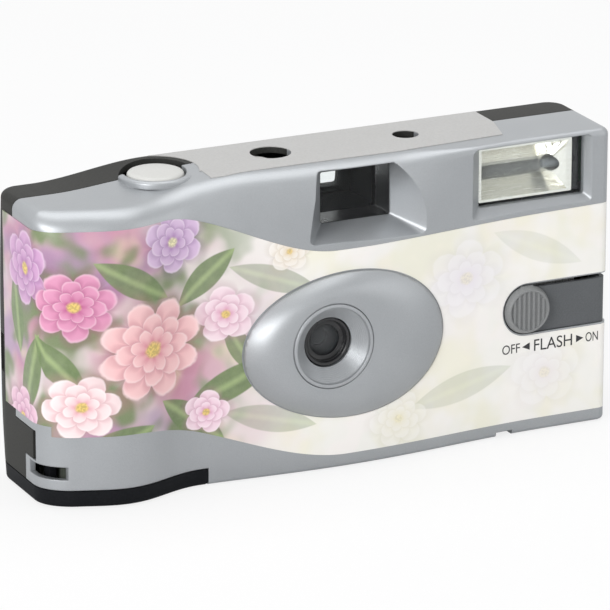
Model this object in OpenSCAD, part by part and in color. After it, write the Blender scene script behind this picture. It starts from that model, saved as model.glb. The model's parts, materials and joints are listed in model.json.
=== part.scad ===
// Single-use 35 mm film camera with flash, as an assembly of separate pieces.
// X runs to the right seen from the front, Y runs to the back, Z runs up, in millimetres.
// The origin is the middle of the base: the lens faces -Y.

/* [Body] */
// Width of the body
body_w = 120; // [116:1:128]
// Height of the body
body_h = 60; // [59:0.5:66]
// Depth from the flat front to the edges of the back
body_d = 22.6; // [22.4:0.1:24]
// How far the back is crowned
rear_crown = 3.4; // [3:0.1:4]
// Wall of the moulded covers
wall = 1.2; // [1:0.05:1.4]
// Gap between two covers at a seam
seam_gap = 0.15; // [0.1:0.01:0.3]
// Depth of the seam between front and rear cover behind the flat front
seam_d = 14.15; // [13.5:0.05:14.5]

/* [Front form] */
// How far the grip swells forward
grip_out = 3.9; // [3.6:0.1:5]
// Half the width of the grip's swelling
grip_half = 16; // [15:0.5:18]
// How far the middle of the front swells forward
belly_out = 2.4; // [1.5:0.1:3]
// Middle of the front's swelling
belly_x = 4; // [0:0.5:8]
// Half the width of the front's swelling
belly_half = 42; // [36:1:46]
// Radius of the left front corner
corner_left = 6; // [4:0.5:7]
// Radius of the right front corner
corner_right = 2; // [1.5:0.5:3]
// Radius of the rear corners
corner_rear = 4; // [3:0.5:5]
// Round of the bottom edge
edge_r = 0.8; // [0.5:0.1:1.2]
// Height where the brow starts to lean back
brow_z = 44; // [42:0.5:46]
// How far the brow leans back
brow_lean = 2.8; // [1.5:0.1:3.2]
// Round of the top edge at the brow
brow_r = 3; // [2:0.1:3.4]
// Round of the top edge over the flash and along the back
top_r = 1.4; // [1.3:0.1:2]
// How far the top drops over the grip
top_drop = 2.5; // [1.5:0.1:2.6]
// Length of the ramp up from the grip
ramp_len = 23; // [18:1:26]
// Middle of that ramp, on the centre plane
ramp_x = -32.8; // [-34:0.1:-31]
// Sideways slant of the ramp for each unit of depth
ramp_slant = -0.68; // [-0.8:0.02:-0.5]

/* [Lens] */
// Sideways place of the lens axis
lens_x = -2.5; // [-3.2:0.1:-2]
// Height of the lens axis
lens_z = 26.1; // [26:0.1:27.5]
// How far the lens pod stands out of the front
pod_out = 3.5; // [2.5:0.1:4.5]
// Half the length of the pod
pod_a = 21; // [19:0.1:22]
// Half the height of the pod
pod_b = 14.5; // [13.5:0.1:15.5]
// Sideways offset of the pod's middle from the lens axis
pod_dx = 4.1; // [3:0.1:5]
// Height offset of the pod's middle from the lens axis
pod_dz = -1.1; // [-2:0.1:0]
// Step at the rim of the pod
pod_step = 0.5; // [0.3:0.1:1]
// Radius of the bezel round the lens
bezel_r = 8.4; // [8:0.1:9]
// Radius of the bezel's funnel at its mouth
funnel_r = 7.6; // [7:0.1:7.8]
// Radius of the bezel's funnel at its throat
throat_r = 5; // [5:0.1:5.6]
// Outer radius of the black lens barrel
barrel_r = 4.8; // [4.6:0.1:4.8]
// Radius of the lens
lens_r = 3.6; // [3.2:0.1:4]
// Thickness of the lens at its middle
lens_t = 1.9; // [1.6:0.1:2.2]
// Radius of the aperture
aperture_r = 1.8; // [1.5:0.1:2]

/* [Film] */
// Radius of the film cassette
cassette_r = 12.4; // [12:0.1:12.5]
// Height of the film cassette
cassette_h = 47; // [46:0.5:47]
// Sheet thickness of the cassette's shell
cassette_t = 0.5; // [0.4:0.05:0.8]
// Radius of the spool's hub
hub_r = 4.6; // [4:0.1:4.8]
// Width of the film
film_w = 35; // [34:0.5:36]
// Thickness of the film
film_t = 0.2; // [0.14:0.02:0.3]
// Width of one picture
gate_w = 36; // [34:0.5:37]
// Height of one picture
gate_h = 24; // [22:0.5:25]
// Pitch of the film's perforations
perf_pitch = 4.75; // [4.5:0.05:5]
// Radius of the film wound on the supply spool
roll_r = 8.3; // [7.5:0.1:8.6]
// Radius of the supply spool's core
core_r = 4; // [3.5:0.1:5]
// Sideways place of the supply spool
supply_x = 33.4; // [33:0.1:35]
// Height of the film door at the bottom of the grip
door_h = 3.3; // [2.8:0.1:3.8]
// Right end of the film door
door_x = -26.6; // [-27.5:0.1:-26]

/* [Winding] */
// Radius of the thumb wheel
wheel_r = 12.1; // [11.8:0.1:12.1]
// Thickness of the thumb wheel
wheel_t = 3; // [2.6:0.1:3]
// Number of ridges on the thumb wheel
wheel_ridges = 48; // [36:4:60]
// Angle round the wheel where the pawl is fixed
pawl_root = 13; // [12:0.5:14]
// Angle round the wheel that the pawl spans
pawl_span = 15; // [13:0.5:16]
// Number of teeth on the sprocket
sprocket_teeth = 8; // [8:1:8]
// Sideways place of the sprocket's axis
sprocket_x = -22.2; // [-22.4:0.1:-21]
// Sideways place of the counter dial's axis
dial_x = -12.8; // [-13.5:0.1:-12.4]
// Depth of the counter dial's axis behind the flat front
dial_d = 13.15; // [12.6:0.05:13.4]
// Radius of the counter dial
dial_r = 7.4; // [6.5:0.1:7.5]
// Number of teeth on the counter dial
dial_teeth = 36; // [30:1:40]
// Sideways place of the counter's hole in the top
counter_x = -7; // [-8:0.1:-6]
// Radius of the counter's hole in the top
counter_hole_r = 4; // [3:0.1:4.2]

/* [Shutter button] */
// Sideways place of the shutter button
button_x = -31; // [-31.6:0.1:-30.4]
// Depth of the shutter button behind the flat front
button_d = 13.15; // [12.8:0.05:13.4]
// Radius of the shutter button
button_r = 5.5; // [5:0.1:6]
// Travel of the shutter button
button_travel = 1.2; // [0.8:0.1:1.3]
// Width of the collar in front of the button
collar_w = 1.5; // [1:0.1:2]
// Length of the release lever's arm towards the button
release_in = 8.4; // [8.2:0.1:9]
// Length of the release lever's arm towards the shutter
release_out = 4.8; // [4:0.1:5]
// Height of the release lever's arms
release_t = 1.6; // [1.4:0.1:1.8]
// Clearance round the button
button_gap = 0.4; // [0.2:0.05:0.6]

/* [Viewfinder] */
// Left edge of the viewfinder window
finder_x = -0.8; // [-1.6:0.1:0]
// Width of the viewfinder window
finder_w = 14.7; // [13:0.1:15]
// Height of the window's bottom edge over the deck of the inner frame
finder_lift = 2.7; // [2.2:0.1:3]
// Depth of the window's top edge under the top of the body
finder_drop = 2.2; // [2.2:0.1:3]
// Roof of the viewfinder's tunnel
finder_roof = 0.6; // [0.4:0.1:0.7]
// How far in front of the flat front the scoop's outline is given
scoop_out = 8; // [7:0.5:9]
// How far the scoop spreads to the left of the window at that outline
mouth_left = 10; // [8:0.1:10.5]
// How far the scoop spreads to the right of the window at that outline
mouth_right = 10.8; // [9:0.1:11.2]
// How far the scoop spreads over the window at that outline
mouth_top = 5; // [3:0.1:5.4]
// Width of the eyepiece
eyepiece_w = 10.9; // [9:0.1:12]
// How much lower the eyepiece is than the window
eyepiece_less = 2.4; // [1.8:0.1:3]

/* [Flash] */
// Left edge of the flash window
flash_x = 32; // [31.5:0.1:33]
// Width of the flash window
flash_w = 22.6; // [20:0.1:23]
// Height of the flash window's bottom edge over the deck of the inner frame
flash_lift = 2.3; // [2:0.1:2.8]
// Depth of the flash window's top edge under the top of the body
flash_drop = 1.1; // [1:0.1:1.6]
// Depth of the flash window behind the flat front
flash_d = 1.45; // [1.2:0.05:1.6]
// How far in front of the flat front the outline of the flash's recess is given
recess_out = 1; // [0.8:0.1:1.2]
// How far the recess spreads to the left of the window at that outline
recess_left = 2.8; // [2:0.1:3]
// How far the recess spreads to the right of the window at that outline
recess_right = 2; // [1.4:0.1:2.2]
// How far the recess spreads under the window at that outline
recess_low = 2.3; // [1.6:0.1:2.4]
// How far the recess spreads over the window at that outline
recess_top = 0.5; // [0.3:0.1:0.6]
// Width of the flash transformer
transformer_w = 7.5; // [6:0.1:8]
// Depth of the flash transformer
transformer_d = 6; // [5:0.1:6.4]
// Height of the flash transformer
transformer_h = 7; // [6:0.1:7.4]
// Radius of the flash tube
tube_r = 1.6; // [1.2:0.1:2]
// Radius of the battery
battery_r = 5.2; // [5:0.1:5.3]
// Length of the battery with its nub
battery_h = 44.5; // [42:0.1:44.5]
// Radius of the flash capacitor
capacitor_r = 5.8; // [5:0.1:6]
// Length of the flash capacitor
capacitor_h = 35; // [30:0.5:38]
// Sideways place of the ready lamp's hole
lamp_x = 21.7; // [20:0.1:23]
// Radius of the ready lamp's hole
lamp_hole_r = 2.6; // [2:0.1:3]
// Depth of the lamp's tip under the top
lamp_drop = 1.5; // [1.3:0.1:2]

/* [Flash switch] */
// Left edge of the switch panel
panel_x = 36.7; // [36:0.1:38]
// Bottom edge of the switch panel
panel_z = 20.4; // [19.6:0.1:21.4]
// Height of the switch panel's notch
panel_h = 10.2; // [9.8:0.1:11]
// How far the notch reaches round the right end
panel_wrap = 6; // [5:0.1:7]
// How deep the panel lies under the front
panel_sink = 0.35; // [0.3:0.05:0.5]
// Gap round the panel in its notch
panel_gap = 0.4; // [0.2:0.05:0.5]
// Height of the slot over the panel
slot_h = 1; // [0.8:0.1:1.2]
// Radius of the switch knob
knob_r = 4.9; // [4.4:0.1:4.9]
// How much narrower the knob is at its front
knob_taper = 0.6; // [0.3:0.1:0.8]
// How far the switch knob stands out
knob_out = 1.5; // [1:0.1:2]
// Number of ribs on the switch knob
knob_ribs = 6; // [4:1:8]
// Travel of the switch
switch_travel = 9.5; // [7:0.1:10]

/* [Labels] */
// Thickness of the stuck-on labels
label_t = 0.15; // [0.1:0.01:0.25]
// Distance of the front label's right edge from the right end
label_end = 0.7; // [0.6:0.1:2]
// How far the front label wraps past the seam on the left side
label_wrap = 4.5; // [3:0.1:5]
// Left edge of the top label in front of the button
lid_left = -23.2; // [-23.6:0.1:-22]
// Right edge of the top label
lid_right = 41; // [38:0.5:44]

/* [Hidden] */
$fn = 48;

// Clearance of a shaft in its bearing
run = 0.05;
// Clearance between pieces that lie beside each other
play = 0.25;
// Thickness of the inner frame's walls
frame_t = 1.2;
// Overlap that makes cuts and joined shapes clean
eps = 0.01;
// Larger than the whole camera
big = 200;

// Depth of the whole camera, from the lens bezel to the crowned back
depth = rear_crown + body_d + belly_out + pod_out;
rear_y = depth/2 - rear_crown;
face_y = rear_y - body_d;
bezel_y = -depth/2;
seam_y = face_y + seam_d;
button_y = face_y + button_d;
dial_y = face_y + dial_d;

// Places of the film path
grip_x = -body_w/2 + wall + 15.3;
cassette_y = face_y - grip_out + wall + 0.65 + cassette_r;
cassette_z = lens_z - cassette_h/2;
film_y = rear_y - wall - 0.45;
film_front = film_y - film_t/2;
film_rear = film_y + film_t/2;
supply_y = film_front - 0.05 - roll_r;
sprocket_r = perf_pitch*sprocket_teeth/(2*PI) - 0.25;
sprocket_y = film_front - 0.15 - sprocket_r;
sprocket_z = lens_z + film_w/2 - 3.1;
sprocket_t = 2.2;

// Places of the inner frame
base_z = wall + 0.3;
deck_z = lens_z + film_w/2 + 0.1;
deck_top = deck_z + frame_t;
finder_z = deck_top + finder_lift;
finder_h = body_h - finder_drop - finder_z;
eyepiece = [eyepiece_w, finder_h - eyepiece_less];
flash_z = deck_top + flash_lift;
flash_h = body_h - flash_drop - flash_z;
gate_y = film_front - 0.15;
plate_y = face_y + 2.95;
plate_rear = plate_y + frame_t;
frame_left = grip_x + cassette_r + 0.5;
gate_left = frame_left + frame_t;

// Places of the winding parts
top_plate_z = cassette_z + cassette_h + 0.2;
shelf_z = top_plate_z + 0.7;
wheel_z = shelf_z + 0.2;
wheel_top = wheel_z + wheel_t;
wheel_collar_r = hub_r + 1.5;
flange_t = 0.8;
flange_z = wheel_top + button_travel + 0.3;
flange_r = button_r + 0.9;
dial_t = 0.8;
dial_z = body_h - 3;
dial_face = body_h - wall - 0.35;
post_x = frame_left + 2.8;
post_y = cassette_y + 0.1;

// Places of the lens parts
barrel_front = bezel_y + 3.2;
aperture_y = plate_y - 1.1;
aperture_t = 0.9;
lens_rear = aperture_y - aperture_t - 0.05;
blade_pivot = [lens_x - 5.5, lens_z + 5.5];
kick_pivot = [lens_x - 12, lens_z + 3];
blade_tab = blade_pivot + 4*[cos(135), sin(135)];
blade_y = plate_y - 0.35;
blade_t = 0.4;
kick_y = plate_y - 1.7;
kick_t = 0.9;

// Places of the release lever
release_pivot = [post_x + 7.2, deck_top + 2.6];
release_y = post_y - 0.8;
release_w = 1.6;
lever_ear = 0.7;
post_bottom = release_pivot[1] + 1.4;

// Places of the flash parts
board_y = face_y + 8.25;
board_t = 1.2;
board_z = flash_z;
board_left = finder_x + finder_w + frame_t + 0.2;
battery_x = body_w/2 - wall - 0.8 - battery_r;
battery_y = board_y + board_t + 2.9;
battery_z = base_z + frame_t + 0.5;
capacitor_x = (board_left + supply_x - roll_r - 2.6)/2 - 0.7;
capacitor_y = face_y + 7.55;
window_t = 1.1;
window_y = face_y + flash_d;
recess_y = face_y - recess_out;
lamp_y = face_y + 12.95;
slot_z = panel_z + panel_h - slot_h;
ledge_y = face_y + wall + 0.05;
ledge_w = 12;
knob_x = panel_x + panel_h/2;
knob_z = panel_z + panel_h/2;
contact_y = supply_y - roll_r - 0.5 - frame_t - 0.65;

// Depth and height of the flash tube and its reflector
reflector_front = window_y + window_t + 0.1;
reflector_back = board_y - 0.1;
tube_y = reflector_back - 3;
tube_z = flash_z + flash_h/2;

// Radii of the frame's pins and shafts
post_r = 0.8;
shaft_r = 1.5;
spool_pin_r = 1.9;
lever_pin_r = 0.8;
blade_pin_r = 0.8;
kick_pin_r = 0.9;
plate_r = 5.9;

// Light tunnel: outlines at the lens and at the film, grown by off
tunnel_end = [11, 9];
function tunnel_mouth(off) =
    corners(lens_x - tunnel_end[0]/2, lens_z - tunnel_end[1]/2, tunnel_end[0], tunnel_end[1], off);
function tunnel_gate(off) = corners(lens_x - gate_w/2, lens_z - gate_h/2, gate_w, gate_h, off);

// Places of the door
hinge_r = 0.9;
hinge_x = door_x - hinge_r;
pin_r = 0.45;
bead_front = face_y + 4.15;
bead_rear = face_y + 19.35;
ear_t = 1.3;

// Curves that shape the covers

// Smooth step from 0 to 1
function ease(t) = let(u = min(1, max(0, t))) u*u*(3 - 2*u);

// Rounded hump: 1 at the middle, 0 beyond its half width
function hump(t) = abs(t) < 1 ? pow(cos(90*t), 2) : 0;

// Depth of the front at one place along the width
function front_y(x) =
    face_y - grip_out*hump((x - grip_x)/grip_half) - belly_out*hump((x - belly_x)/belly_half);

// Height of the top at one place
function top_z(x, y) = body_h - top_drop*(1 - ease((x - ramp_x - ramp_slant*y)/ramp_len + 0.5));

// Share of the brow's lean and round: 1 from the grip to the viewfinder, 0 at the flash
function brow(x) = 1 - ease((x - finder_x - finder_w)/(flash_x - finder_x - finder_w));

// Lower and upper edges of the front label at one place along the width
function label_low(x) = lens_z - 23.4 + 11.4*(1 - ease((x + 44)/46));
function label_high(x) = brow_z + 10.2*(1 - ease((x + 36)/36)) + max(0, (x - 8)/50);

// Stations along the width: place, share of the corner's round and direction of the wall
corner_steps = 4;
mid_steps = 24;
half_w = body_w/2;
function left_round(r, off, a) =
    [-half_w + r - (r + off)*cos(a), r - (r + off)*sin(a), -half_w + r*(1 - cos(a)), sin(a), -cos(a)];
function right_round(r, off, a) =
    [half_w - r + (r + off)*cos(a), r - (r + off)*sin(a), half_w - r*(1 - cos(a)), sin(a), cos(a)];
function stations(left_r, right_r, off) = concat(
    [for (k = [0:corner_steps]) left_round(left_r, off, 90*k/corner_steps)],
    [for (k = [1:mid_steps - 1])
        let(x = -half_w + left_r + (body_w - left_r - right_r)*k/mid_steps)
        [x, -off, x, 1, 0]],
    [for (k = [0:corner_steps]) right_round(right_r, off, 90 - 90*k/corner_steps)]);

// One level of the form is [kind, share]: 0 bottom round, 1 lower wall, 2 brow, 3 top round, 4 flat bottom
outer_levels = concat(
    [for (a = [0, 45, 90]) [0, a]],
    [for (s = [1/3, 2/3, 1]) [1, s]],
    [for (s = [1/3, 2/3, 1]) [2, s]],
    [for (a = [30, 60, 90]) [3, a]]);
inner_levels = concat(
    [[4, 0]], [for (s = [1/3, 2/3, 1]) [1, s]], [for (s = [1/2, 1]) [2, s]], [for (a = [45, 90]) [3, a]]);

// Levels of the pieces that need only part of the form: the second list reaches past the first
door_levels = [[0, 0], [0, 45], [0, 90], [1, 1/3]];
door_hollow = [[4, 0], [1, 1/3], [1, 2/3]];
panel_levels = [[1, 1/3], [1, 2/3], [1, 1]];
panel_hollow = [[4, 0], [1, 1/3], [1, 2/3], [1, 1], [2, 1/2]];
skin_levels = concat([[0, 90]], [for (s = [1/3, 2/3, 1]) [1, s]], [for (s = [1/3, 2/3, 1]) [2, s]]);
skin_hollow = concat([[0, 45]], skin_levels, [[3, 30]]);
lid_levels = concat([for (s = [2/3, 1]) [2, s]], [for (a = [30, 60, 90]) [3, a]]);
lid_hollow = concat([[2, 1/3]], lid_levels);

function level_z(lv, high, r, off) =
    lv[0] == 0 ? edge_r - (edge_r + off)*cos(lv[1]) :
    lv[0] == 1 ? edge_r + (brow_z - edge_r)*lv[1] :
    lv[0] == 2 ? brow_z + (high - r - brow_z)*lv[1] :
    lv[0] == 3 ? high - r + (r + off)*sin(lv[1]) : -off;
function level_inset(lv, r, off) =
    lv[0] == 0 ? (edge_r + off)*(1 - sin(lv[1])) :
    lv[0] == 3 ? (r + off)*(1 - cos(lv[1])) : 0;
function lean(x, z, high) = brow_lean*brow(x)*pow(max(0, z - brow_z)/(high - brow_z), 3);
function crown(z) = rear_crown*(1 - pow(abs(2*z/body_h - 1), z < body_h/2 ? 4 : 2));

// A point of the front and of the back at one station and level
function front_point(s, lv, off) =
    let(
        y0 = front_y(s[2]),
        high = top_z(s[2], y0 + brow_r),
        r = top_r + (brow_r - top_r)*brow(s[2]),
        z = level_z(lv, high, r, off),
        inset = level_inset(lv, r, off))
    [s[0] - s[4]*inset, y0 + s[1] + s[3]*inset + s[3]*lean(s[2], z, high), z];
function rear_point(s, lv, off) =
    let(
        high = top_z(s[2], rear_y),
        z = level_z(lv, high, top_r, off),
        inset = level_inset(lv, top_r, off))
    [s[0] - s[4]*inset, rear_y - s[1] - s[3]*inset + s[3]*crown(z), z];

// The body's form, grown by off, as rings of points joined by triangles
module body_form(off, levels) {
    front = stations(corner_left, corner_right, off);
    rear = stations(corner_rear, corner_rear, off);
    n = len(front);
    m = 2*n;
    last = (len(levels) - 1)*m;
    points = [for (lv = levels)
        each concat(
            [for (s = front) front_point(s, lv, off)],
            [for (i = [n - 1:-1:0]) rear_point(rear[i], lv, off)])];
    sides = [for (j = [0:len(levels) - 2], i = [0:m - 1])
        let(a = j*m + i, b = j*m + (i + 1)%m)
        each [[a, b + m, b], [a, a + m, b + m]]];
    bottom = [for (i = [0:n - 2])
        each [[i, i + 1, m - 2 - i], [i, m - 2 - i, m - 1 - i]]];
    top = [for (i = [0:n - 2])
        each [[last + i, last + m - 2 - i, last + i + 1], [last + i, last + m - 1 - i, last + m - 2 - i]]];
    polyhedron(points, concat(sides, bottom, top));
}

// Wall of the covers, closed all round
module body_shell(outside, inside) {
    difference() {
        body_form(0, outside);
        body_form(-wall, inside);
    }
}

// Skin that lies on the covers
module body_skin(outside, inside) {
    difference() {
        body_form(label_t, outside);
        body_form(0, inside);
    }
}

// Simple shapes

// A box from its lower to its upper corner
module box(low, high) {
    translate(low) cube(high - low);
}

// A flat outline in X and Z, given depth from y0 to y1
module slab(y0, y1) {
    translate([0, y1, 0]) rotate([90, 0, 0]) linear_extrude(y1 - y0) children();
}

// A round bar along Y
module bar_y(r, x, z, y0, y1) {
    translate([x, y0, z]) rotate([-90, 0, 0]) cylinder(r = r, h = y1 - y0);
}

// A round post along Z
module post(r, x, y, z0, z1) {
    translate([x, y, z0]) cylinder(r = r, h = z1 - z0);
}

// A funnel with four sides, from the outline rear at depth y1 to the outline front at depth y0
module funnel(front, rear, y0, y1) {
    n = len(front);
    points = concat([for (p = front) [p[0], y0, p[1]]], [for (p = rear) [p[0], y1, p[1]]]);
    sides = [for (i = [0:n - 1]) let(j = (i + 1)%n) each [[i, j, j + n], [i, j + n, i + n]]];
    ends = [for (i = [1:n - 2]) each [[0, i + 1, i], [n, n + i, n + i + 1]]];
    polyhedron(points, concat(sides, ends));
}

// Corners of a rectangle, grown by off
function corners(x, z, w, h, off) =
    [[x - off, z - off], [x + w + off, z - off], [x + w + off, z + h + off], [x - off, z + h + off]];

// A coil spring along Z as one unbroken tube
module coil(r, wire, turns, h) {
    per_turn = 10;
    sides = 6;
    n = turns*per_turn;
    points = [for (k = [0:n], s = [0:sides - 1])
        let(a = 360*k/per_turn, b = 360*s/sides, q = r + wire/2*cos(b))
        [q*cos(a), q*sin(a), wire/2 + (h - wire)*k/n + wire/2*sin(b)]];
    skin = [for (k = [0:n - 1], s = [0:sides - 1])
        let(a = k*sides + s, b = k*sides + (s + 1)%sides)
        each [[a, b, b + sides], [a, b + sides, a + sides]]];
    ends = [for (s = [1:sides - 2])
        each [[0, s + 1, s], [n*sides, n*sides + s, n*sides + s + 1]]];
    polyhedron(points, concat(skin, ends));
}

// Covers

// Outline of the lens pod, grown by off, blended by t into a circle round the lens
function pod_edge(a, t, off) =
    let(
        swell = 1 + 0.05*cos(a),
        egg = [lens_x + pod_dx + (pod_a + off)*cos(a), lens_z + pod_dz + (pod_b + off)*sin(a)*swell],
        ring = [lens_x, lens_z] + (bezel_r + 1)*[cos(a), sin(a)])
    egg*(1 - t) + ring*t;

// Domed pod round the lens: rings from the front's surface to the bezel
module pod() {
    sides = 48;
    heights = [0, 0.2, 0.4, 0.6, 0.8, 1];
    n = len(heights);
    root = [for (k = [0:sides - 1])
        let(p = pod_edge(360*k/sides, 0, 0))
        [p[0], front_y(p[0]) + wall*0.7, p[1]]];
    dome = [for (t = heights, k = [0:sides - 1])
        let(p = pod_edge(360*k/sides, t, 0), rise = 1 - pow(1 - t, 2), rim = front_y(p[0]) - pod_step)
        [p[0], rim*(1 - rise) + (bezel_y + 0.25)*rise, p[1]]];
    skin = [for (j = [0:n - 1], k = [0:sides - 1])
        let(a = j*sides + k, b = j*sides + (k + 1)%sides)
        each [[a, b + sides, b], [a, a + sides, b + sides]]];
    back = [for (k = [1:sides - 2]) [0, k, k + 1]];
    face = [for (k = [1:sides - 2]) [n*sides, n*sides + k + 1, n*sides + k]];
    polyhedron(concat(root, dome), concat(skin, back, face));
}

// Notch for the switch panel with its round left end, grown by off
module panel_notch(off, y1) {
    bar_y(panel_h/2 + off, knob_x, knob_z, -big/2, y1);
    box([knob_x, -big/2, panel_z - off], [big, y1, panel_z + panel_h + off]);
}

// Space in front of the seam, with the stepped edge low on the left side
tongue_y = face_y + 4.75;
tab_y = face_y + 9.45;
tab_z = 8.5;
tongue_z = 14.5;
module left_step(gap) {
    translate([-half_w - 5, 0, 0]) rotate([90, 0, 90]) linear_extrude(12)
        polygon([
            [tongue_y + gap, tab_z + gap], [tongue_y + gap, tongue_z - gap], [seam_y + 1, tongue_z - gap],
            [seam_y + 1, -5], [tab_y + gap, -5], [tab_y + gap, tab_z + gap]]);
}
module door_space(gap) {
    box([-big/2, -big/2, -big/2], [door_x + gap, big/2, door_h + gap]);
}

// Notch in the front's bottom edge
notch_x = 35.3;
notch_w = 3.7;

// Outline of the viewfinder's scoop in front of the camera
scoop_y = face_y - scoop_out;
finder_mouth = [
    [finder_x - mouth_left, finder_z - 3.9], [finder_x + finder_w + mouth_right, finder_z - 6.1],
    [finder_x + finder_w + 0.8*mouth_right, finder_z + 0.6*finder_h],
    [finder_x + finder_w - 1.6, finder_z + finder_h + mouth_top - 1],
    [finder_x - mouth_left + 2.4, finder_z + finder_h + mouth_top]];
finder_front = face_y + 4.15;
finder_lens_y = finder_front + 0.1;
finder_tube_y = finder_lens_y + window_t + 0.1;
eyepiece_x = finder_x + (finder_w - eyepiece[0])/2;
eyepiece_z = finder_z + (finder_h - eyepiece[1])/2;
finder_rear = rear_y + crown(finder_z + finder_h + finder_roof) - wall - 0.55;

// Outlines of the finder's window, the flash window and the finder's mouth, grown by off
function finder_edge(off) = corners(finder_x, finder_z, finder_w, finder_h, off);
function flash_edge(off) = corners(flash_x, flash_z, flash_w, flash_h, off);
function flash_mouth(off) = corners(flash_x - recess_left, flash_z - recess_low,
    flash_w + recess_left + recess_right, flash_h + recess_low + recess_top, off);
function finder_rim(off) =
    let(c = finder_edge(off)) [c[0], c[1], [c[1][0], finder_z + 0.55*finder_h], c[2], c[3]];
function mouth(off) =
    [for (k = [0:4]) finder_mouth[k] + off*[k == 0 || k == 4 ? -1 : 1, k < 2 ? -1 : k == 2 ? 0 : 1]];

// Room for the cassette and the thumb wheel inside the covers
module cassette_room() {
    post(cassette_r + play, grip_x, cassette_y, cassette_z - play, shelf_z);
    post(wheel_r + play, grip_x, cassette_y, wheel_z - play, wheel_top + play);
}

// Silver front: grip, lens pod, brow and the openings for the finder, flash and switch
module front_cover() {
    color("silver") {
        difference() {
            union() {
                intersection() {
                    body_shell(outer_levels, inner_levels);
                    difference() {
                        box([-big/2, -big/2, -1], [big/2, seam_y - seam_gap/2, big/2]);
                        left_step(0);
                        door_space(seam_gap);
                    }
                }
                pod();
                // Walls of the viewfinder's scoop and the flash's recess
                intersection() {
                    union() {
                        funnel(mouth(wall), finder_rim(wall), scoop_y, finder_front);
                        funnel(flash_mouth(wall), flash_edge(wall), recess_y, window_y + 0.1);
                        slab(window_y, window_y + window_t) polygon(flash_edge(wall));
                    }
                    body_form(-wall/2, inner_levels);
                }
                intersection() {
                    difference() {
                        post(button_r + button_gap + collar_w, button_x, button_y, body_h - 1.9, body_h - 0.5);
                        post(button_r + button_gap, button_x, button_y, 0, big);
                    }
                    box([-big/2, -big/2, 0], [big/2, button_y + 0.9, big]);
                }
            }
            cassette_room();
            bar_y(bezel_r + 0.1, lens_x, lens_z, -big, barrel_front + 0.2);
            bar_y(barrel_r + play, lens_x, lens_z, -big, big);
            post(button_r + button_gap, button_x, button_y, brow_z, big);
            funnel(mouth(0), finder_rim(0), scoop_y, finder_front + eps);
            funnel(flash_mouth(0), flash_edge(0.15), recess_y, window_y + 0.1);
            slab(-big, 0) polygon(flash_edge(0.15));
            panel_notch(0, face_y + panel_wrap);
            post(counter_hole_r, counter_x, dial_y, brow_z, big);
            post(lamp_hole_r, lamp_x, lamp_y, brow_z, big);
            box([-half_w - 1, -big, tab_z - 3], [-half_w + 4.6, tongue_y + 2.8, tab_z - 0.4]);
            box([notch_x, -big, -1], [notch_x + notch_w, face_y + 4, 1]);
        }
        // Ledge behind the lower edge of the switch panel
        box([knob_x, face_y + wall/2, panel_z - 1.6], [knob_x + ledge_w, ledge_y + 1, panel_z - 0.2]);
        box([knob_x, ledge_y, panel_z - 0.6], [knob_x + ledge_w, ledge_y + 1, panel_z + 1]);
    }
}

// Dark back with the eyepiece, the opening for the thumb wheel and the film's pressure pad
module rear_cover() {
    scoop_half = 11;
    scoop_r = 3.4;
    latch = [2.6, 7.7];
    color("dimgray") difference() {
        union() {
            intersection() {
                body_shell(outer_levels, inner_levels);
                difference() {
                    union() {
                        box([-big/2, seam_y + seam_gap/2, -1], [big/2, big/2, big/2]);
                        left_step(seam_gap);
                    }
                    door_space(seam_gap);
                }
            }
            box([lens_x - gate_w/2 - 2, film_rear + 0.15, lens_z - gate_h/2 - 3],
                [lens_x + gate_w/2 + 2, rear_y + rear_crown - wall + 0.1, lens_z + gate_h/2 + 3]);
        }
        cassette_room();
        box([-half_w - 1, tongue_y - 1, tab_z - 1], [-half_w + 3, tongue_y + 1, tongue_z + 1]);
        post(button_r + button_gap + collar_w - 0.4, button_x, button_y, brow_z, big);
        post(counter_hole_r, counter_x, dial_y, brow_z, big);
        post(lamp_hole_r, lamp_x, lamp_y, brow_z, big);
        translate([grip_x, cassette_y + wheel_r - 0.9 + scoop_r, (wheel_z + wheel_top)/2]) rotate([0, 90, 0])
            cylinder(r = scoop_r, h = 2*scoop_half, center = true);
        slab(0, big) polygon(corners(eyepiece_x, eyepiece_z, eyepiece[0], eyepiece[1], 0.15));
        translate([-half_w - 1, rear_y - 3, lens_z - 4.6]) cube([wall + 2, latch[0], latch[1]]);
    }
}

// Black door under the film cassette, with its hinge bead, hook and ribs
module film_door() {
    color([0.1, 0.1, 0.1]) difference() {
        union() {
            intersection() {
                body_shell(door_levels, door_hollow);
                union() {
                    box([-big/2, -big/2, -1], [hinge_x, big/2, door_h - seam_gap/2]);
                    box([-big/2, -big/2, hinge_r], [door_x, big/2, door_h - seam_gap/2]);
                    bar_y(hinge_r, hinge_x, hinge_r, -big/2, big/2);
                }
            }
            bar_y(hinge_r, hinge_x, hinge_r, bead_front, bead_rear);
            bar_y(pin_r, hinge_x, hinge_r, bead_front - 1.4, bead_rear + 1.4);
            for (y = [cassette_y - 6, cassette_y + 6])
                box([grip_x - 8, y - 0.5, wall - eps], [grip_x + 8, y + 0.5, cassette_z - 0.2]);
            box([-half_w + 2.8, tongue_y - 0.2, wall - eps], [-half_w + 4.2, tongue_y + 2.6, tab_z - 1]);
        }
        post(cassette_r + play, grip_x, cassette_y, cassette_z - 0.1, door_h + 1);
        for (y = [bead_front - ear_t - 0.35, bead_rear])
            difference() {
                box([hinge_x - 1.4, y, -1], [door_x + 1, y + ear_t + 0.35, big]);
                bar_y(pin_r, hinge_x, hinge_r, -big, big);
            }
    }
}

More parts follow.
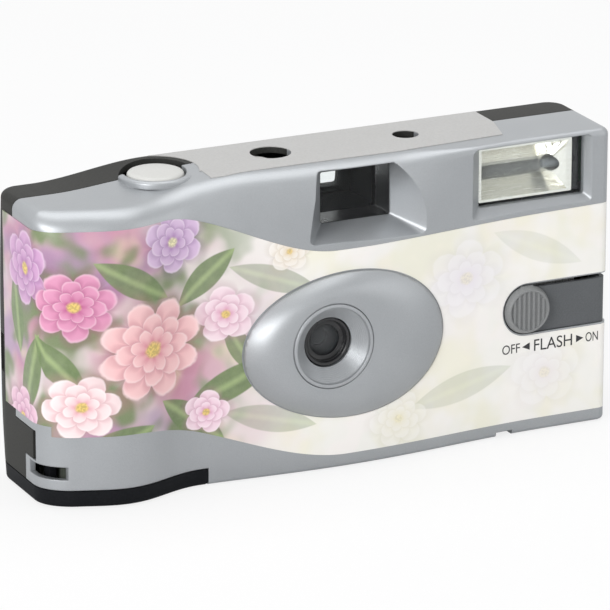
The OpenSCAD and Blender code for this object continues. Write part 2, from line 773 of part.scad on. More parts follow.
// Printed skin over the front, with openings for the pod and the switch
module front_label() {
    steps = 30;
    label_back = seam_y + label_wrap;
    x0 = -half_w - 1;
    x1 = half_w + 1;
    xs = [for (k = [0:steps]) x0 + (x1 - x0)*k/steps];
    color("lavenderblush") difference() {
        intersection() {
            body_skin(skin_levels, skin_hollow);
            slab(-big/2, label_back) polygon(concat(
                [for (x = xs) [x, label_low(x)]], [for (k = [steps:-1:0]) [xs[k], label_high(xs[k])]]));
            box([-big, -big, 0], [half_w - label_end, big, big]);
        }
        slab(-big, 0) polygon([for (k = [0:47]) pod_edge(360*k/48, 0, 0.3)]);
        panel_notch(0.3, 0);
        box([-big, -big, 0], [-half_w + 2, big, label_low(-half_w) + 2]);
    }
}

// Plain skin over the middle of the top, cut round the button, counter and lamp
module top_label() {
    left = button_x + 1;
    back = rear_y - top_r;
    color("lightgray") difference() {
        intersection() {
            body_skin(lid_levels, lid_hollow);
            translate([0, 0, brow_z]) linear_extrude(body_h)
                polygon([
                    [left, back], [lid_right, back], [lid_right, seam_y - 0.8], [lid_right - 2.3, face_y + 4.95],
                    [finder_x + finder_w + 2.3, face_y + 3.55], [lid_left + 2.5, face_y + 4.15],
                    [lid_left, face_y + 4.75], [lid_left, button_y - 4], [left, button_y - 4]]);
        }
        post(button_r + button_gap + collar_w + 0.9, button_x, button_y, brow_z, big);
        post(counter_hole_r, counter_x, dial_y, brow_z, big);
        post(lamp_hole_r, lamp_x, lamp_y, brow_z, big);
    }
}

// Inner frame

// Black inner moulding that carries the film, lens, shutter, finder and battery
module main_frame() {
    plate_left = kick_pivot[0] - 3;
    plate_right = lens_x + 9;
    chamber_r = roll_r + 0.5;
    bridge_z = 2*hinge_r + 0.2;
    lever_top = release_pivot[1] + 1.5;
    rear_limit = rear_y - wall - play;
    color([0.13, 0.13, 0.14]) difference() {
        union() {
            // Film gate, base, deck and front plate
            box([gate_left, gate_y - frame_t, bridge_z], [supply_x, gate_y, deck_top]);
            box([door_x + play, plate_y, base_z], [half_w - wall - play, gate_y, base_z + frame_t]);
            box([frame_left, plate_y, deck_z], [board_left - 0.2, gate_y, deck_top]);
            box([plate_left, plate_y, base_z], [plate_right, plate_rear, deck_top]);
            // Tapered light tunnel from the lens to the gate
            funnel(tunnel_mouth(frame_t), tunnel_gate(frame_t), plate_y + 0.1, gate_y - 0.1);
            // Wall beside the cassette and the plate under the thumb wheel
            box([frame_left, cassette_y - 7, bridge_z], [gate_left, cassette_y + 7, shelf_z]);
            intersection() {
                post(cassette_r + 0.6, grip_x, cassette_y, top_plate_z, shelf_z);
                box([-half_w + wall + play, face_y, 0], [gate_left, rear_limit - 1, big]);
            }
            box([grip_x, cassette_y - 7, top_plate_z], [gate_left, cassette_y + 7, shelf_z]);
            // Shelf under the button's spring and the pawl
            box([frame_left, cassette_y - 7, top_plate_z], [post_x + 1.8, post_y + 1.8, shelf_z]);
            // Chamber of the supply roll
            intersection() {
                post(chamber_r + frame_t, supply_x, supply_y, base_z, deck_top);
                box([-big, -big, 0], [big, rear_limit, big]);
            }
            // Viewfinder tunnel
            box([finder_x - frame_t, finder_tube_y, deck_z],
                [finder_x + finder_w + frame_t, finder_rear, finder_z + finder_h + finder_roof]);
            // Posts and pins for the dial, shutter and lever
            post(1.4, dial_x, dial_y, deck_z, dial_z + dial_t - 0.1);
            post(2.2, dial_x, dial_y, deck_z, dial_z - 0.05);
            bar_y(blade_pin_r, blade_pivot[0], blade_pivot[1], kick_y - kick_t, plate_rear);
            bar_y(kick_pin_r, kick_pivot[0], kick_pivot[1], kick_y - kick_t - 0.2, plate_rear);
            for (y = [release_y - 0.2 - lever_ear, release_y + release_w + 0.2])
                box([release_pivot[0] - 1.6, y, deck_z], [release_pivot[0] + 1.6, y + lever_ear, lever_top]);
            bar_y(lever_pin_r, release_pivot[0], release_pivot[1],
                release_y - 0.2 - lever_ear, release_y + release_w + 0.2 + lever_ear);
            // Cups of the capacitor and the battery
            post(capacitor_r + play + 0.9, capacitor_x, capacitor_y, base_z, base_z + 8);
            intersection() {
                post(battery_r + play + 0.9, battery_x, battery_y, base_z, base_z + 18);
                box([0, -big, 0], [half_w - wall - play, big, big]);
            }
            // Ears for the film door's hinge
            box([frame_left, bead_front - ear_t - 0.15, bridge_z],
                [door_x + 2, bead_rear + ear_t + 0.15, base_z + frame_t]);
            for (y = [bead_front - ear_t - 0.15, bead_rear + 0.15])
                box([hinge_x - 1.1, y, hinge_r - 0.8], [door_x - 0.05, y + ear_t, base_z + frame_t]);
        }
        // Light path of the lens and the finder
        funnel(tunnel_mouth(0), tunnel_gate(0), plate_rear - 0.3, gate_y + eps);
        bar_y(aperture_r + 0.8, lens_x, lens_z, plate_y - 1, plate_rear);
        box([finder_x, -big, finder_z], [finder_x + finder_w, big, finder_z + finder_h]);
        // Openings for the sprocket, wheel, cassette, spool, button and hinge pins
        post(sprocket_r + 0.5, sprocket_x, sprocket_y, sprocket_z - 0.4, sprocket_z + sprocket_t + 0.4);
        post(shaft_r + run, sprocket_x, sprocket_y, deck_z - 1, big);
        post(wheel_collar_r + run, grip_x, cassette_y, top_plate_z - 1, big);
        post(cassette_r + 0.4, grip_x, cassette_y, 0, top_plate_z - 0.1);
        post(post_r + 0.3, post_x, post_y, deck_top + eps, big);
        post(chamber_r, supply_x, supply_y, base_z + frame_t, deck_z);
        box([supply_x - chamber_r - 2, gate_y - 4, base_z + frame_t], [supply_x, gate_y + 3, deck_z]);
        post(spool_pin_r + run, supply_x, supply_y, 0, big);
        post(capacitor_r + play, capacitor_x, capacitor_y, base_z + frame_t, big);
        post(battery_r + play, battery_x, battery_y, base_z + frame_t, big);
        box([battery_x, board_y + board_t, base_z + frame_t], [big, board_y + board_t + 3.6, big]);
        bar_y(pin_r + run, hinge_x, hinge_r, -big, big);
    }
}

// Shutter and release

// White cap with its flange, and the post that reaches down to the release lever
module shutter_button() {
    crown_r = 40;
    color("ivory") {
        intersection() {
            post(button_r, button_x, button_y, flange_z, body_h);
            translate([button_x, button_y, body_h - 0.1 - crown_r]) sphere(r = crown_r, $fn = 96);
        }
        post(flange_r, button_x, button_y, flange_z, flange_z + flange_t);
        post(post_r, post_x, post_y, post_bottom, flange_z + flange_t);
    }
}

module button_spring() {
    low = shelf_z + 0.05;
    color("silver") translate([post_x, post_y, low]) coil(post_r + 0.45, 0.35, 5, flange_z - 0.05 - low);
}

// Rocker under the button's post
module release_lever() {
    color("gainsboro") slab(release_y, release_y + release_w) difference() {
        union() {
            translate(release_pivot + [-release_in, -release_t/2]) square([release_in + release_out, release_t]);
            translate([post_x - 1, release_pivot[1]]) square([2, post_bottom - 0.2 - release_pivot[1]]);
            translate(release_pivot) circle(r = 1.9);
        }
        translate(release_pivot) circle(r = lever_pin_r + run);
    }
}

// Sprung lever that knocks the shutter blade open
module kick_lever() {
    to_tab = blade_tab - kick_pivot;
    nose = atan2(to_tab[1], to_tab[0]) + 13;
    color("dimgray") slab(kick_y - kick_t, kick_y) difference() {
        translate(kick_pivot) union() {
            circle(r = 2);
            rotate(nose) translate([0, -0.6]) square([norm(to_tab) + 0.3, 1.2]);
            rotate(100) translate([0, -0.7]) square([13.5, 1.4]);
        }
        translate(kick_pivot) circle(r = kick_pin_r + run);
    }
}

module kick_spring() {
    color("silver") translate([kick_pivot[0], plate_y - 0.05, kick_pivot[1]]) rotate([90, 0, 0])
        coil(kick_pin_r + 0.45, 0.3, 2, plate_y - kick_y - 0.1);
}

// Thin blade that covers the aperture, with the pin that the kick lever strikes
module shutter_blade() {
    to_lens = [lens_x, lens_z] - blade_pivot;
    color([0.2, 0.2, 0.2]) {
        slab(blade_y - blade_t, blade_y) difference() {
            union() {
                translate([lens_x, lens_z]) circle(r = aperture_r + 0.8);
                translate(blade_pivot) circle(r = 2);
                translate(blade_pivot) rotate(atan2(to_lens[1], to_lens[0])) translate([0, -1.3])
                    square([norm(to_lens), 2.6]);
                translate(blade_pivot) rotate(135) translate([0, -0.8]) square([4, 1.6]);
                translate(blade_tab) circle(r = 0.8);
            }
            translate(blade_pivot) circle(r = blade_pin_r + run);
        }
        bar_y(0.5, blade_tab[0], blade_tab[1], kick_y - kick_t, blade_y - blade_t + eps);
    }
}

module blade_spring() {
    color("silver") translate([blade_pivot[0], blade_y - blade_t - 0.05, blade_pivot[1]]) rotate([90, 0, 0])
        coil(blade_pin_r + 0.45, 0.3, 2, blade_y - blade_t - 0.05 - kick_y + kick_t);
}

// Lens and viewfinder

// Silver ring with the funnel down to the lens
module lens_bezel() {
    deep = barrel_front + 0.1 - bezel_y;
    color("silver") translate([lens_x, bezel_y, lens_z]) rotate([-90, 0, 0]) rotate_extrude()
        polygon([
            [bezel_r, 0.3], [bezel_r, deep], [throat_r, deep], [throat_r, deep - 0.4], [funnel_r, 0.6],
            [funnel_r, 0], [bezel_r - 0.3, 0]]);
}

// Black barrel that holds the lens against the aperture plate
module lens_barrel() {
    back = aperture_y - aperture_t;
    pocket = lens_rear - lens_t - 0.05;
    color([0.08, 0.08, 0.08]) translate([lens_x, 0, lens_z]) rotate([-90, 0, 0]) rotate_extrude()
        polygon([
            [barrel_r, barrel_front], [barrel_r, back], [lens_r + run, back], [lens_r + run, pocket],
            [lens_r - 0.5, pocket], [lens_r - 0.5, pocket - 0.4], [lens_r + 0.2, pocket - 0.4],
            [lens_r + 0.4, pocket - 1], [lens_r + 0.8, pocket - 1], [barrel_r - 0.5, barrel_front]]);
}

// Lens with a domed front and a flat back
module lens_element() {
    dome = 1;
    sphere_r = (lens_r*lens_r + dome*dome)/(2*dome);
    color("lightcyan", 0.5) translate([lens_x, lens_rear - lens_t, lens_z]) intersection() {
        rotate([-90, 0, 0]) cylinder(r = lens_r, h = lens_t);
        translate([0, sphere_r, 0]) sphere(r = sphere_r, $fn = 96);
    }
}

// Disc with the aperture, on three feet clear of the blade
module aperture_plate() {
    color([0.1, 0.1, 0.1]) {
        slab(aperture_y - aperture_t, aperture_y) difference() {
            translate([lens_x, lens_z]) circle(r = plate_r);
            translate([lens_x, lens_z]) circle(r = aperture_r);
        }
        for (a = [40, -40, -85])
            translate([lens_x, aperture_y - eps, lens_z]) rotate([-90, a, 0]) translate([plate_r - 0.8, 0, 0])
                cylinder(r = 0.7, h = plate_y - aperture_y + eps);
    }
}

module finder_front_lens() {
    color("lightcyan", 0.5) slab(finder_lens_y, finder_lens_y + window_t)
        polygon(finder_edge(0.8));
}

// Eyepiece in the back, with the flange that holds it from inside
module finder_rear_lens() {
    low = finder_rear + 0.05;
    color("lightcyan", 0.5) {
        slab(low, rear_y + crown(finder_z + finder_h))
            polygon(corners(eyepiece_x, eyepiece_z, eyepiece[0], eyepiece[1], 0));
        slab(low, low + 0.4) polygon(corners(eyepiece_x, eyepiece_z, eyepiece[0], eyepiece[1], 0.8));
    }
}

// Flash

module flash_window() {
    color("lightcyan", 0.5) slab(window_y, window_y + window_t)
        polygon(flash_edge(0));
}

// Bright trough behind the flash tube, with holes in its ends for the tube
module flash_reflector() {
    trough = [for (k = [-5:5]) let(t = k/5) [
        reflector_back - 0.5 - (reflector_back - 0.5 - reflector_front)*t*t, tube_z + t*(flash_h/2 - 0.9)]];
    color("gold") difference() {
        slab(reflector_front, reflector_back) polygon(flash_edge(-0.4));
        translate([flash_x + 1, 0, 0]) rotate([90, 0, 90]) linear_extrude(flash_w - 2)
            polygon(concat([trough[0] - [1, 0]], trough, [trough[10] - [1, 0]]));
        translate([0, tube_y, tube_z]) rotate([0, 90, 0]) cylinder(r = tube_r + 0.1, h = big);
    }
}

module flash_tube() {
    color("white", 0.7) translate([flash_x - 0.3, tube_y, tube_z]) rotate([0, 90, 0])
        cylinder(r = tube_r, h = flash_w + 0.6);
}

module circuit_board() {
    edge = wall + 0.5;
    color("darkgreen") box([board_left, board_y, board_z], [half_w - edge, board_y + board_t, body_h - edge]);
}

module flash_capacitor() {
    low = base_z + frame_t + 0.1;
    color("midnightblue") {
        post(capacitor_r, capacitor_x, capacitor_y, low, low + capacitor_h);
        for (x = [-1.6, 1.6])
            post(0.35, capacitor_x + x, board_y + board_t/2, low + capacitor_h - eps, board_z - 0.05);
    }
}

module flash_transformer() {
    low = [lamp_x + lamp_hole_r + 2.6, board_y + board_t + 0.05, board_z + 1.6];
    color("darkgoldenrod") box(low, low + [transformer_w, transformer_d, transformer_h]);
}

// Standing cell with its nub on top
module battery() {
    nub = 1;
    color("slategray") {
        post(battery_r, battery_x, battery_y, battery_z, battery_z + battery_h - nub);
        post(1.9, battery_x, battery_y, battery_z, battery_z + battery_h);
    }
}

module battery_plus_contact() {
    low = battery_z + battery_h + 0.05;
    rear = board_y + board_t + 0.05;
    color("silver") {
        box([battery_x - 2.5, rear, low], [battery_x + 2.5, battery_y + 2, low + 0.4]);
        box([battery_x - 2.5, rear, low], [battery_x + 2.5, rear + 0.4, low + 5]);
    }
}

module battery_minus_contact() {
    low = base_z + frame_t + 0.05;
    side = battery_x + battery_r + 0.15;
    rear = board_y + board_t + 0.2;
    color("silver") {
        post(battery_r - 0.6, battery_x, battery_y, low, low + 0.4);
        box([battery_x, rear + 0.4, low], [side + 0.35, rear + 3, low + 0.4]);
        box([side, rear, low], [side + 0.35, rear + 3, board_z + 3]);
    }
}

// Lamp under its hole in the top, on a foot from the circuit board
module ready_lamp() {
    color("orange") {
        post(lamp_hole_r - 0.3, lamp_x, lamp_y, body_h - 4.6, body_h - lamp_drop);
        box([lamp_x - 1.5, board_y + board_t + 0.05, body_h - 5], [lamp_x + 1.5, lamp_y, body_h - 3.4]);
    }
}

// Flash switch

// Dark panel in the notch of the front, following the front's curve round the right corner
module switch_panel() {
    color("slategray") intersection() {
        difference() {
            body_form(-panel_sink, panel_levels);
            body_form(-wall, panel_hollow);
        }
        union() {
            panel_notch(-panel_gap, face_y + panel_wrap - 0.1);
            box([knob_x, -big/2, panel_z + 0.1], [big, face_y + panel_wrap - 0.1, knob_z]);
        }
        box([0, -big/2, 0], [big/2, 0, slot_z]);
    }
}

// Round knob with ribs, and the tongue that passes through the slot
module flash_switch() {
    rib_r = knob_r - knob_taper - 0.5;
    pitch = 2*rib_r/(knob_ribs + 1);
    back = face_y - 0.05;
    front = face_y - knob_out;
    tongue = 1.3;
    color("slategray") difference() {
        union() {
            translate([knob_x, front, knob_z]) rotate([-90, 0, 0])
                cylinder(r1 = knob_r - knob_taper, r2 = knob_r, h = back - front);
            box([knob_x - tongue, back - 0.3, slot_z + 0.15], [knob_x + tongue, contact_y - 0.3, slot_z + slot_h - 0.25]);
        }
        intersection() {
            bar_y(rib_r, knob_x, knob_z, front - 1, front + 0.5);
            for (k = [-(knob_ribs - 1)/2:(knob_ribs - 1)/2])
                translate([knob_x + k*pitch, front, knob_z]) cube([pitch/2, 1, 2*knob_r + 1], center = true);
        }
    }
}

// Springy strip that the switch's tongue wipes, led up to the circuit board
module switch_contact() {
    left = flash_x - wall - 4.6;
    color("silver") {
        box([left, contact_y, slot_z - 1.5], [knob_x + switch_travel + 2, contact_y + 0.35, slot_z + 2.5]);
        box([left, contact_y, slot_z], [left + 4, contact_y + 0.35, board_z - 0.2]);
        box([left, contact_y, board_z - 0.6], [left + 4, board_y + board_t, board_z - 0.2]);
    }
}

// Winding and film

// Outline with ridges: count of them, outer radius and their height
module ridged(count, r, deep) {
    polygon([for (k = [0:4*count - 1])
        let(a = 360*(k + 0.5)/(4*count), q = k%4 < 2 ? r : r - deep)
        q*[cos(a), sin(a)]]);
}

// Ridged wheel with the collar that runs in the frame and the key for the spool
module thumb_wheel() {
    socket_z = wheel_z + 1.9;
    color([0.15, 0.15, 0.15]) translate([grip_x, cassette_y, 0]) {
        difference() {
            union() {
                translate([0, 0, wheel_z]) linear_extrude(wheel_t) ridged(wheel_ridges, wheel_r, 0.5);
                post(wheel_collar_r, 0, 0, top_plate_z + 0.05, wheel_z + eps);
            }
            post(hub_r + 0.15, 0, 0, 0, socket_z);
        }
        box([-hub_r - 0.5, -0.6, socket_z - 1.2], [hub_r + 0.5, 0.6, socket_z + eps]);
    }
}

// Springy arm that lets the wheel turn one way
module ratchet_pawl() {
    low = shelf_z;
    function at(a, r) = [grip_x, cassette_y] + (wheel_r + r)*[cos(a), sin(a)];
    color("gainsboro") {
        translate([0, 0, low + 0.4]) linear_extrude(2)
            polygon([at(-pawl_root, 0.45), at(-pawl_root, 1.2), at(-pawl_root - pawl_span, 0.9),
                at(-pawl_root - pawl_span - 2, 0.35)]);
        translate([0, 0, low]) linear_extrude(2.4)
            polygon([at(-pawl_root, 0.45), at(-pawl_root, 1.2), at(-pawl_root - 6, 1.2), at(-pawl_root - 6, 0.45)]);
    }
}

// Toothed wheel that the film turns, with its shaft up to the counter
module sprocket_wheel() {
    reach = norm([dial_x - sprocket_x, dial_y - sprocket_y]) - dial_r - 0.15;
    color("whitesmoke") translate([sprocket_x, sprocket_y, 0]) {
        translate([0, 0, sprocket_z]) linear_extrude(sprocket_t) union() {
            circle(r = sprocket_r - 1.1);
            for (k = [0:sprocket_teeth - 1])
                rotate(360*k/sprocket_teeth) translate([0, -0.75]) square([sprocket_r - 0.1, 1.5]);
        }
        post(shaft_r, 0, 0, sprocket_z, dial_z + dial_t);
        post(shaft_r + 0.8, 0, 0, deck_top + 0.1, deck_top + 0.9);
        box([0, -0.4, dial_z], [reach, 0.4, dial_z + dial_t]);
    }
}

// Disc with the picture numbers, stepped round by its teeth
module counter_dial() {
    color("whitesmoke") difference() {
        union() {
            translate([dial_x, dial_y, dial_z]) linear_extrude(dial_t) ridged(dial_teeth, dial_r, 0.35);
            post(dial_r - 1.2, dial_x, dial_y, dial_z, dial_face);
        }
        post(1.4 + run, dial_x, dial_y, 0, dial_z + dial_t);
    }
}

// Sheet metal shell with its end caps and the lips that the film leaves through
module film_cassette() {
    lip = 0.8;
    slot = film_t/2 + 0.15;
    rim = 0.8;
    color("olive") difference() {
        union() {
            post(cassette_r, grip_x, cassette_y, cassette_z, cassette_z + cassette_h);
            box([grip_x + 5, film_y - slot - lip, lens_z - film_w/2 - 0.5],
                [gate_left - 0.2, film_y + slot + lip, lens_z + film_w/2 + 0.5]);
        }
        post(cassette_r - cassette_t, grip_x, cassette_y, cassette_z + rim, cassette_z + cassette_h - rim);
        post(hub_r + 0.3, grip_x, cassette_y, 0, big);
        box([grip_x, film_y - slot, lens_z - film_w/2 - 0.1], [big, film_y + slot, lens_z + film_w/2 + 0.1]);
    }
}

// Spool inside the cassette: its hub stands up into the thumb wheel's socket
module cassette_spool() {
    rim = 0.8 + play;
    top = cassette_z + cassette_h;
    color([0.1, 0.1, 0.1]) translate([grip_x, cassette_y, 0]) difference() {
        union() {
            post(hub_r + 0.6, 0, 0, cassette_z + rim, top - rim);
            post(hub_r, 0, 0, cassette_z + 0.1, wheel_z + 1.8);
        }
        post(hub_r - 1.2, 0, 0, 0, cassette_z + 5);
        post(hub_r - 1.2, 0, 0, top - 5, big);
        box([-hub_r - 1, -0.75, top + 0.3], [hub_r + 1, 0.75, big]);
    }
}

// Film from the cassette to the supply roll, with its two rows of perforations
module film_strip() {
    left = grip_x + 8;
    hole = [2, 2.8];
    count = floor((supply_x - left)/perf_pitch) - 1;
    color("saddlebrown") difference() {
        box([left, film_front, lens_z - film_w/2], [supply_x, film_rear, lens_z + film_w/2]);
        for (k = [1:count], side = [-1, 1])
            translate([left + k*perf_pitch, film_y, lens_z + side*(film_w/2 - 2 - hole[1]/2)])
                cube([hole[0], 1, hole[1]], center = true);
    }
}

module film_roll() {
    color("saddlebrown") difference() {
        post(roll_r, supply_x, supply_y, lens_z - film_w/2, lens_z + film_w/2);
        post(core_r + run, supply_x, supply_y, 0, big);
    }
}

module supply_spool() {
    color([0.1, 0.1, 0.1]) {
        post(core_r, supply_x, supply_y, base_z + frame_t + 0.2, deck_z - 0.05);
        post(spool_pin_r, supply_x, supply_y, base_z + 0.2, deck_top - 0.2);
    }
}

front_cover();
rear_cover();
main_frame();
film_door();
front_label();
top_label();
shutter_button();
button_spring();
release_lever();
kick_lever();
kick_spring();
shutter_blade();
blade_spring();
lens_bezel();
lens_barrel();
lens_element();
aperture_plate();
finder_front_lens();
finder_rear_lens();
flash_window();
flash_reflector();
flash_tube();
circuit_board();
flash_capacitor();
flash_transformer();
battery();
battery_plus_contact();
battery_minus_contact();
ready_lamp();
switch_panel();
flash_switch();
switch_contact();
thumb_wheel();
ratchet_pawl();
sprocket_wheel();
counter_dial();
film_cassette();
cassette_spool();
film_strip();
film_roll();
supply_spool();
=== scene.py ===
import json
import math

import bmesh
import bpy
import numpy as np
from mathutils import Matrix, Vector
from mathutils.bvhtree import BVHTree

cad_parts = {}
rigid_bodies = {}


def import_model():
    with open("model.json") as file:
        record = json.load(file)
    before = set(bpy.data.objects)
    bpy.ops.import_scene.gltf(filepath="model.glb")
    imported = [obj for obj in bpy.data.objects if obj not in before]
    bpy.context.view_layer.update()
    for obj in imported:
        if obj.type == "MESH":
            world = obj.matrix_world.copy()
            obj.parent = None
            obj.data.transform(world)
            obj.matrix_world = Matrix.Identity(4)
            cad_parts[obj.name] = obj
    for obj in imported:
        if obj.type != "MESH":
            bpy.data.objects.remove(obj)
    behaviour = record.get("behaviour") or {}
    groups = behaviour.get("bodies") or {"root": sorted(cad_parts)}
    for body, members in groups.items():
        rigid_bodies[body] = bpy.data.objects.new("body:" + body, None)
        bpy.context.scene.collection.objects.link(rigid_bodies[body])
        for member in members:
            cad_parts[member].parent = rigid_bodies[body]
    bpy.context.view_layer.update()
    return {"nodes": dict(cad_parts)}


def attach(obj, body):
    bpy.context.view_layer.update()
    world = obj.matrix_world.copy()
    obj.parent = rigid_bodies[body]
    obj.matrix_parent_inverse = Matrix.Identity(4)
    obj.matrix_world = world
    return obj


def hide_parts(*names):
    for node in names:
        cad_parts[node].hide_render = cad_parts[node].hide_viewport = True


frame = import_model()

# Sizes of the camera in millimetres, the same as in the part's source

BODY_W, BODY_H, BODY_D = 120.0, 60.0, 22.6
REAR_CROWN, WALL, SEAM_GAP, SEAM_D = 3.4, 1.2, 0.15, 14.15
GRIP_OUT, GRIP_HALF = 3.9, 16.0
BELLY_OUT, BELLY_X, BELLY_HALF = 2.4, 4.0, 42.0
CORNER_LEFT, CORNER_RIGHT, CORNER_REAR, EDGE_R = 6.0, 2.0, 4.0, 0.8
BROW_Z, BROW_LEAN, BROW_R, TOP_R = 44.0, 2.8, 3.0, 1.4
TOP_DROP, RAMP_LEN, RAMP_X, RAMP_SLANT = 2.5, 23.0, -32.8, -0.68
LENS_X, LENS_Z, POD_OUT, POD_A, POD_B = -2.5, 26.1, 3.5, 21.0, 14.5
POD_DX, POD_DZ, POD_STEP, BEZEL_R = 4.1, -1.1, 0.5, 8.4
FUNNEL_R, THROAT_R, BARREL_R, LENS_R, LENS_T = 7.6, 5.0, 4.8, 3.6, 1.9
CASSETTE_R, DOOR_H, DOOR_X, WHEEL_R, WHEEL_T = 12.4, 3.3, -26.6, 12.1, 3.0
BUTTON_X, BUTTON_D, BUTTON_R, BUTTON_GAP, COLLAR_W = -31.0, 13.15, 5.5, 0.4, 1.5
FINDER_X, FINDER_W, FINDER_Z, FINDER_H = -0.8, 14.7, 47.6, 10.2
MOUTH_LEFT, MOUTH_RIGHT, MOUTH_TOP = 10.0, 10.8, 5.0
EYEPIECE_W, EYEPIECE_H = 10.9, 7.8
FLASH_X, FLASH_W, FLASH_Z, FLASH_H, WINDOW_T = 32.0, 22.6, 47.2, 11.7, 1.1
PANEL_X, PANEL_Z, PANEL_H, PANEL_SINK, PANEL_GAP, SLOT_H = 36.7, 20.4, 10.2, 0.35, 0.4, 1.0
KNOB_R, KNOB_TAPER, KNOB_OUT = 4.9, 0.6, 1.5
COUNTER_X, COUNTER_R, LAMP_X, LAMP_R, LABEL_T, LABEL_END = -7.0, 4.0, 21.7, 2.6, 0.15, 0.7
WORDS_X, WORDS_W, WORDS_Z = 36.4, 21.3, 16.9
HALF_W = BODY_W/2
DEPTH = REAR_CROWN + BODY_D + BELLY_OUT + POD_OUT
REAR_Y = DEPTH/2 - REAR_CROWN
FACE_Y = REAR_Y - BODY_D
BEZEL_Y = -DEPTH/2
SEAM_Y = FACE_Y + SEAM_D
BUTTON_Y = FACE_Y + BUTTON_D
DIAL_Y = FACE_Y + 13.15
LAMP_Y = FACE_Y + 12.95
GRIP_X = -HALF_W + WALL + 15.3
CASSETTE_Y = FACE_Y - GRIP_OUT + WALL + 0.65 + CASSETTE_R
CASSETTE_Z = LENS_Z - 23.5
SHELF_Z = CASSETTE_Z + 47.9
WHEEL_Z = SHELF_Z + 0.2
WHEEL_TOP = WHEEL_Z + WHEEL_T
FINDER_FRONT = FACE_Y + 4.15
SCOOP_Y = FACE_Y - 8
WINDOW_Y = FACE_Y + 1.45
RECESS_Y = FACE_Y - 1
HINGE_X, HINGE_R = DOOR_X - 0.9, 0.9
TONGUE_Y, TAB_Y, TAB_Z, TONGUE_Z = FACE_Y + 4.75, FACE_Y + 9.45, 8.5, 14.5
SLOT_Z = PANEL_Z + PANEL_H - SLOT_H
KNOB_X, KNOB_Z = PANEL_X + PANEL_H/2, PANEL_Z + PANEL_H/2
BARREL_FRONT = BEZEL_Y + 3.2
FILM_REAR = REAR_Y - WALL - 0.35
FAR, PAST = 100, 60    # reach of cutting forms beyond the camera
MM, PER_M = 0.001, 1000.0


# Curves that shape the covers

def ease(t):
    u = np.clip(t, 0, 1)
    return u*u*(3 - 2*u)


def hump(t):
    return np.where(np.abs(t) < 1, np.cos(np.pi/2*np.clip(t, -1, 1))**2, 0)


def front_y(x):
    return FACE_Y - GRIP_OUT*hump((x - GRIP_X)/GRIP_HALF) - BELLY_OUT*hump((x - BELLY_X)/BELLY_HALF)


def top_z(x, y):
    return BODY_H - TOP_DROP*(1 - ease((x - RAMP_X - RAMP_SLANT*y)/RAMP_LEN + 0.5))


def brow(x):
    return 1 - ease((x - FINDER_X - FINDER_W)/(FLASH_X - FINDER_X - FINDER_W))


def lean(x, z, high):
    return BROW_LEAN*brow(x)*(np.maximum(0, z - BROW_Z)/(high - BROW_Z))**3


def crown(z):
    return REAR_CROWN*(1 - np.abs(2*z/BODY_H - 1)**np.where(z < BODY_H/2, 4, 2))


def label_low(x):
    return LENS_Z - 23.4 + 11.4*(1 - ease((x + 44)/46))


def label_high(x):
    return BROW_Z + 10.2*(1 - ease((x + 36)/36)) + np.maximum(0, (x - 8)/50)


def pod_edge(a, t, off):
    egg_x = LENS_X + POD_DX + (POD_A + off)*np.cos(a)
    egg_z = LENS_Z + POD_DZ + (POD_B + off)*np.sin(a)*(1 + 0.05*np.cos(a))
    ring_x = LENS_X + (BEZEL_R + 1)*np.cos(a)
    ring_z = LENS_Z + (BEZEL_R + 1)*np.sin(a)
    return egg_x*(1 - t) + ring_x*t, egg_z*(1 - t) + ring_z*t


# Mesh helpers: points are in millimetres, objects in metres

def new_object(name, mesh):
    obj = bpy.data.objects.new(name, mesh)
    bpy.context.scene.collection.objects.link(obj)
    return obj


def build(name, points, faces):
    mesh = bpy.data.meshes.new(name)
    mesh.from_pydata([tuple(MM*c for c in p) for p in points], [], faces)
    mesh.validate()
    return new_object(name, mesh)


def box(low, high):
    x, y, z = zip(low, high)
    points = [(x[i], y[j], z[k]) for i in (0, 1) for j in (0, 1) for k in (0, 1)]
    return build("box", points, [(0, 1, 3, 2), (4, 6, 7, 5), (0, 4, 5, 1), (2, 3, 7, 6), (0, 2, 6, 4), (1, 5, 7, 3)])


PLACE = {"x": lambda a, b, along: (along, a, b), "y": lambda a, b, along: (a, along, b), "z": lambda a, b,
        along: (a, b, along)}


def clean(obj):
    """Merge doubles, drop empty faces and point all faces outwards."""
    bm = bmesh.new()
    bm.from_mesh(obj.data)
    bmesh.ops.remove_doubles(bm, verts=bm.verts, dist=1e-7)
    bmesh.ops.dissolve_degenerate(bm, edges=bm.edges, dist=1e-8)
    bmesh.ops.recalc_face_normals(bm, faces=bm.faces)
    bm.to_mesh(obj.data)
    bm.free()
    return obj


def lathe(name, profile, centre, axis="y", sides=96):
    """Turn a closed list of (radius, along) round an axis through centre."""
    n = len(profile)
    points, faces = [], []
    for k in range(sides):
        a, j = 2*math.pi*k/sides, (k + 1) % sides
        for i, (r, h) in enumerate(profile):
            q = (i + 1) % n
            points.append([c + d for c, d in zip(centre, PLACE[axis](r*math.cos(a), r*math.sin(a), h))])
            faces.append((k*n + i, j*n + i, j*n + q, k*n + q))
    return clean(build(name, points, faces))


def rod(r, centre, low, high, axis="z", sides=96):
    return lathe("rod", [(0, low), (r, low), (r, high), (0, high)], centre, axis, sides)


def sleeve(name, first, last):
    """Closed form between two outlines with as many points."""
    n = len(first)
    faces = [tuple(range(n)), tuple(range(2*n - 1, n - 1, -1))]
    faces += [(k, (k + 1) % n, n + (k + 1) % n, n + k) for k in range(n)]
    return clean(build(name, first + last, faces))


def prism(outline, low, high, axis="y"):
    """Give an outline a depth along one axis: (x, z) outlines along y, (x, y) along z, (y, z) along x."""
    return sleeve("prism", *([PLACE[axis](*p, d) for p in outline] for d in (low, high)))


def funnel(front, rear, y0, y1):
    return sleeve("funnel", [(x, y0, z) for x, z in front], [(x, y1, z) for x, z in rear])


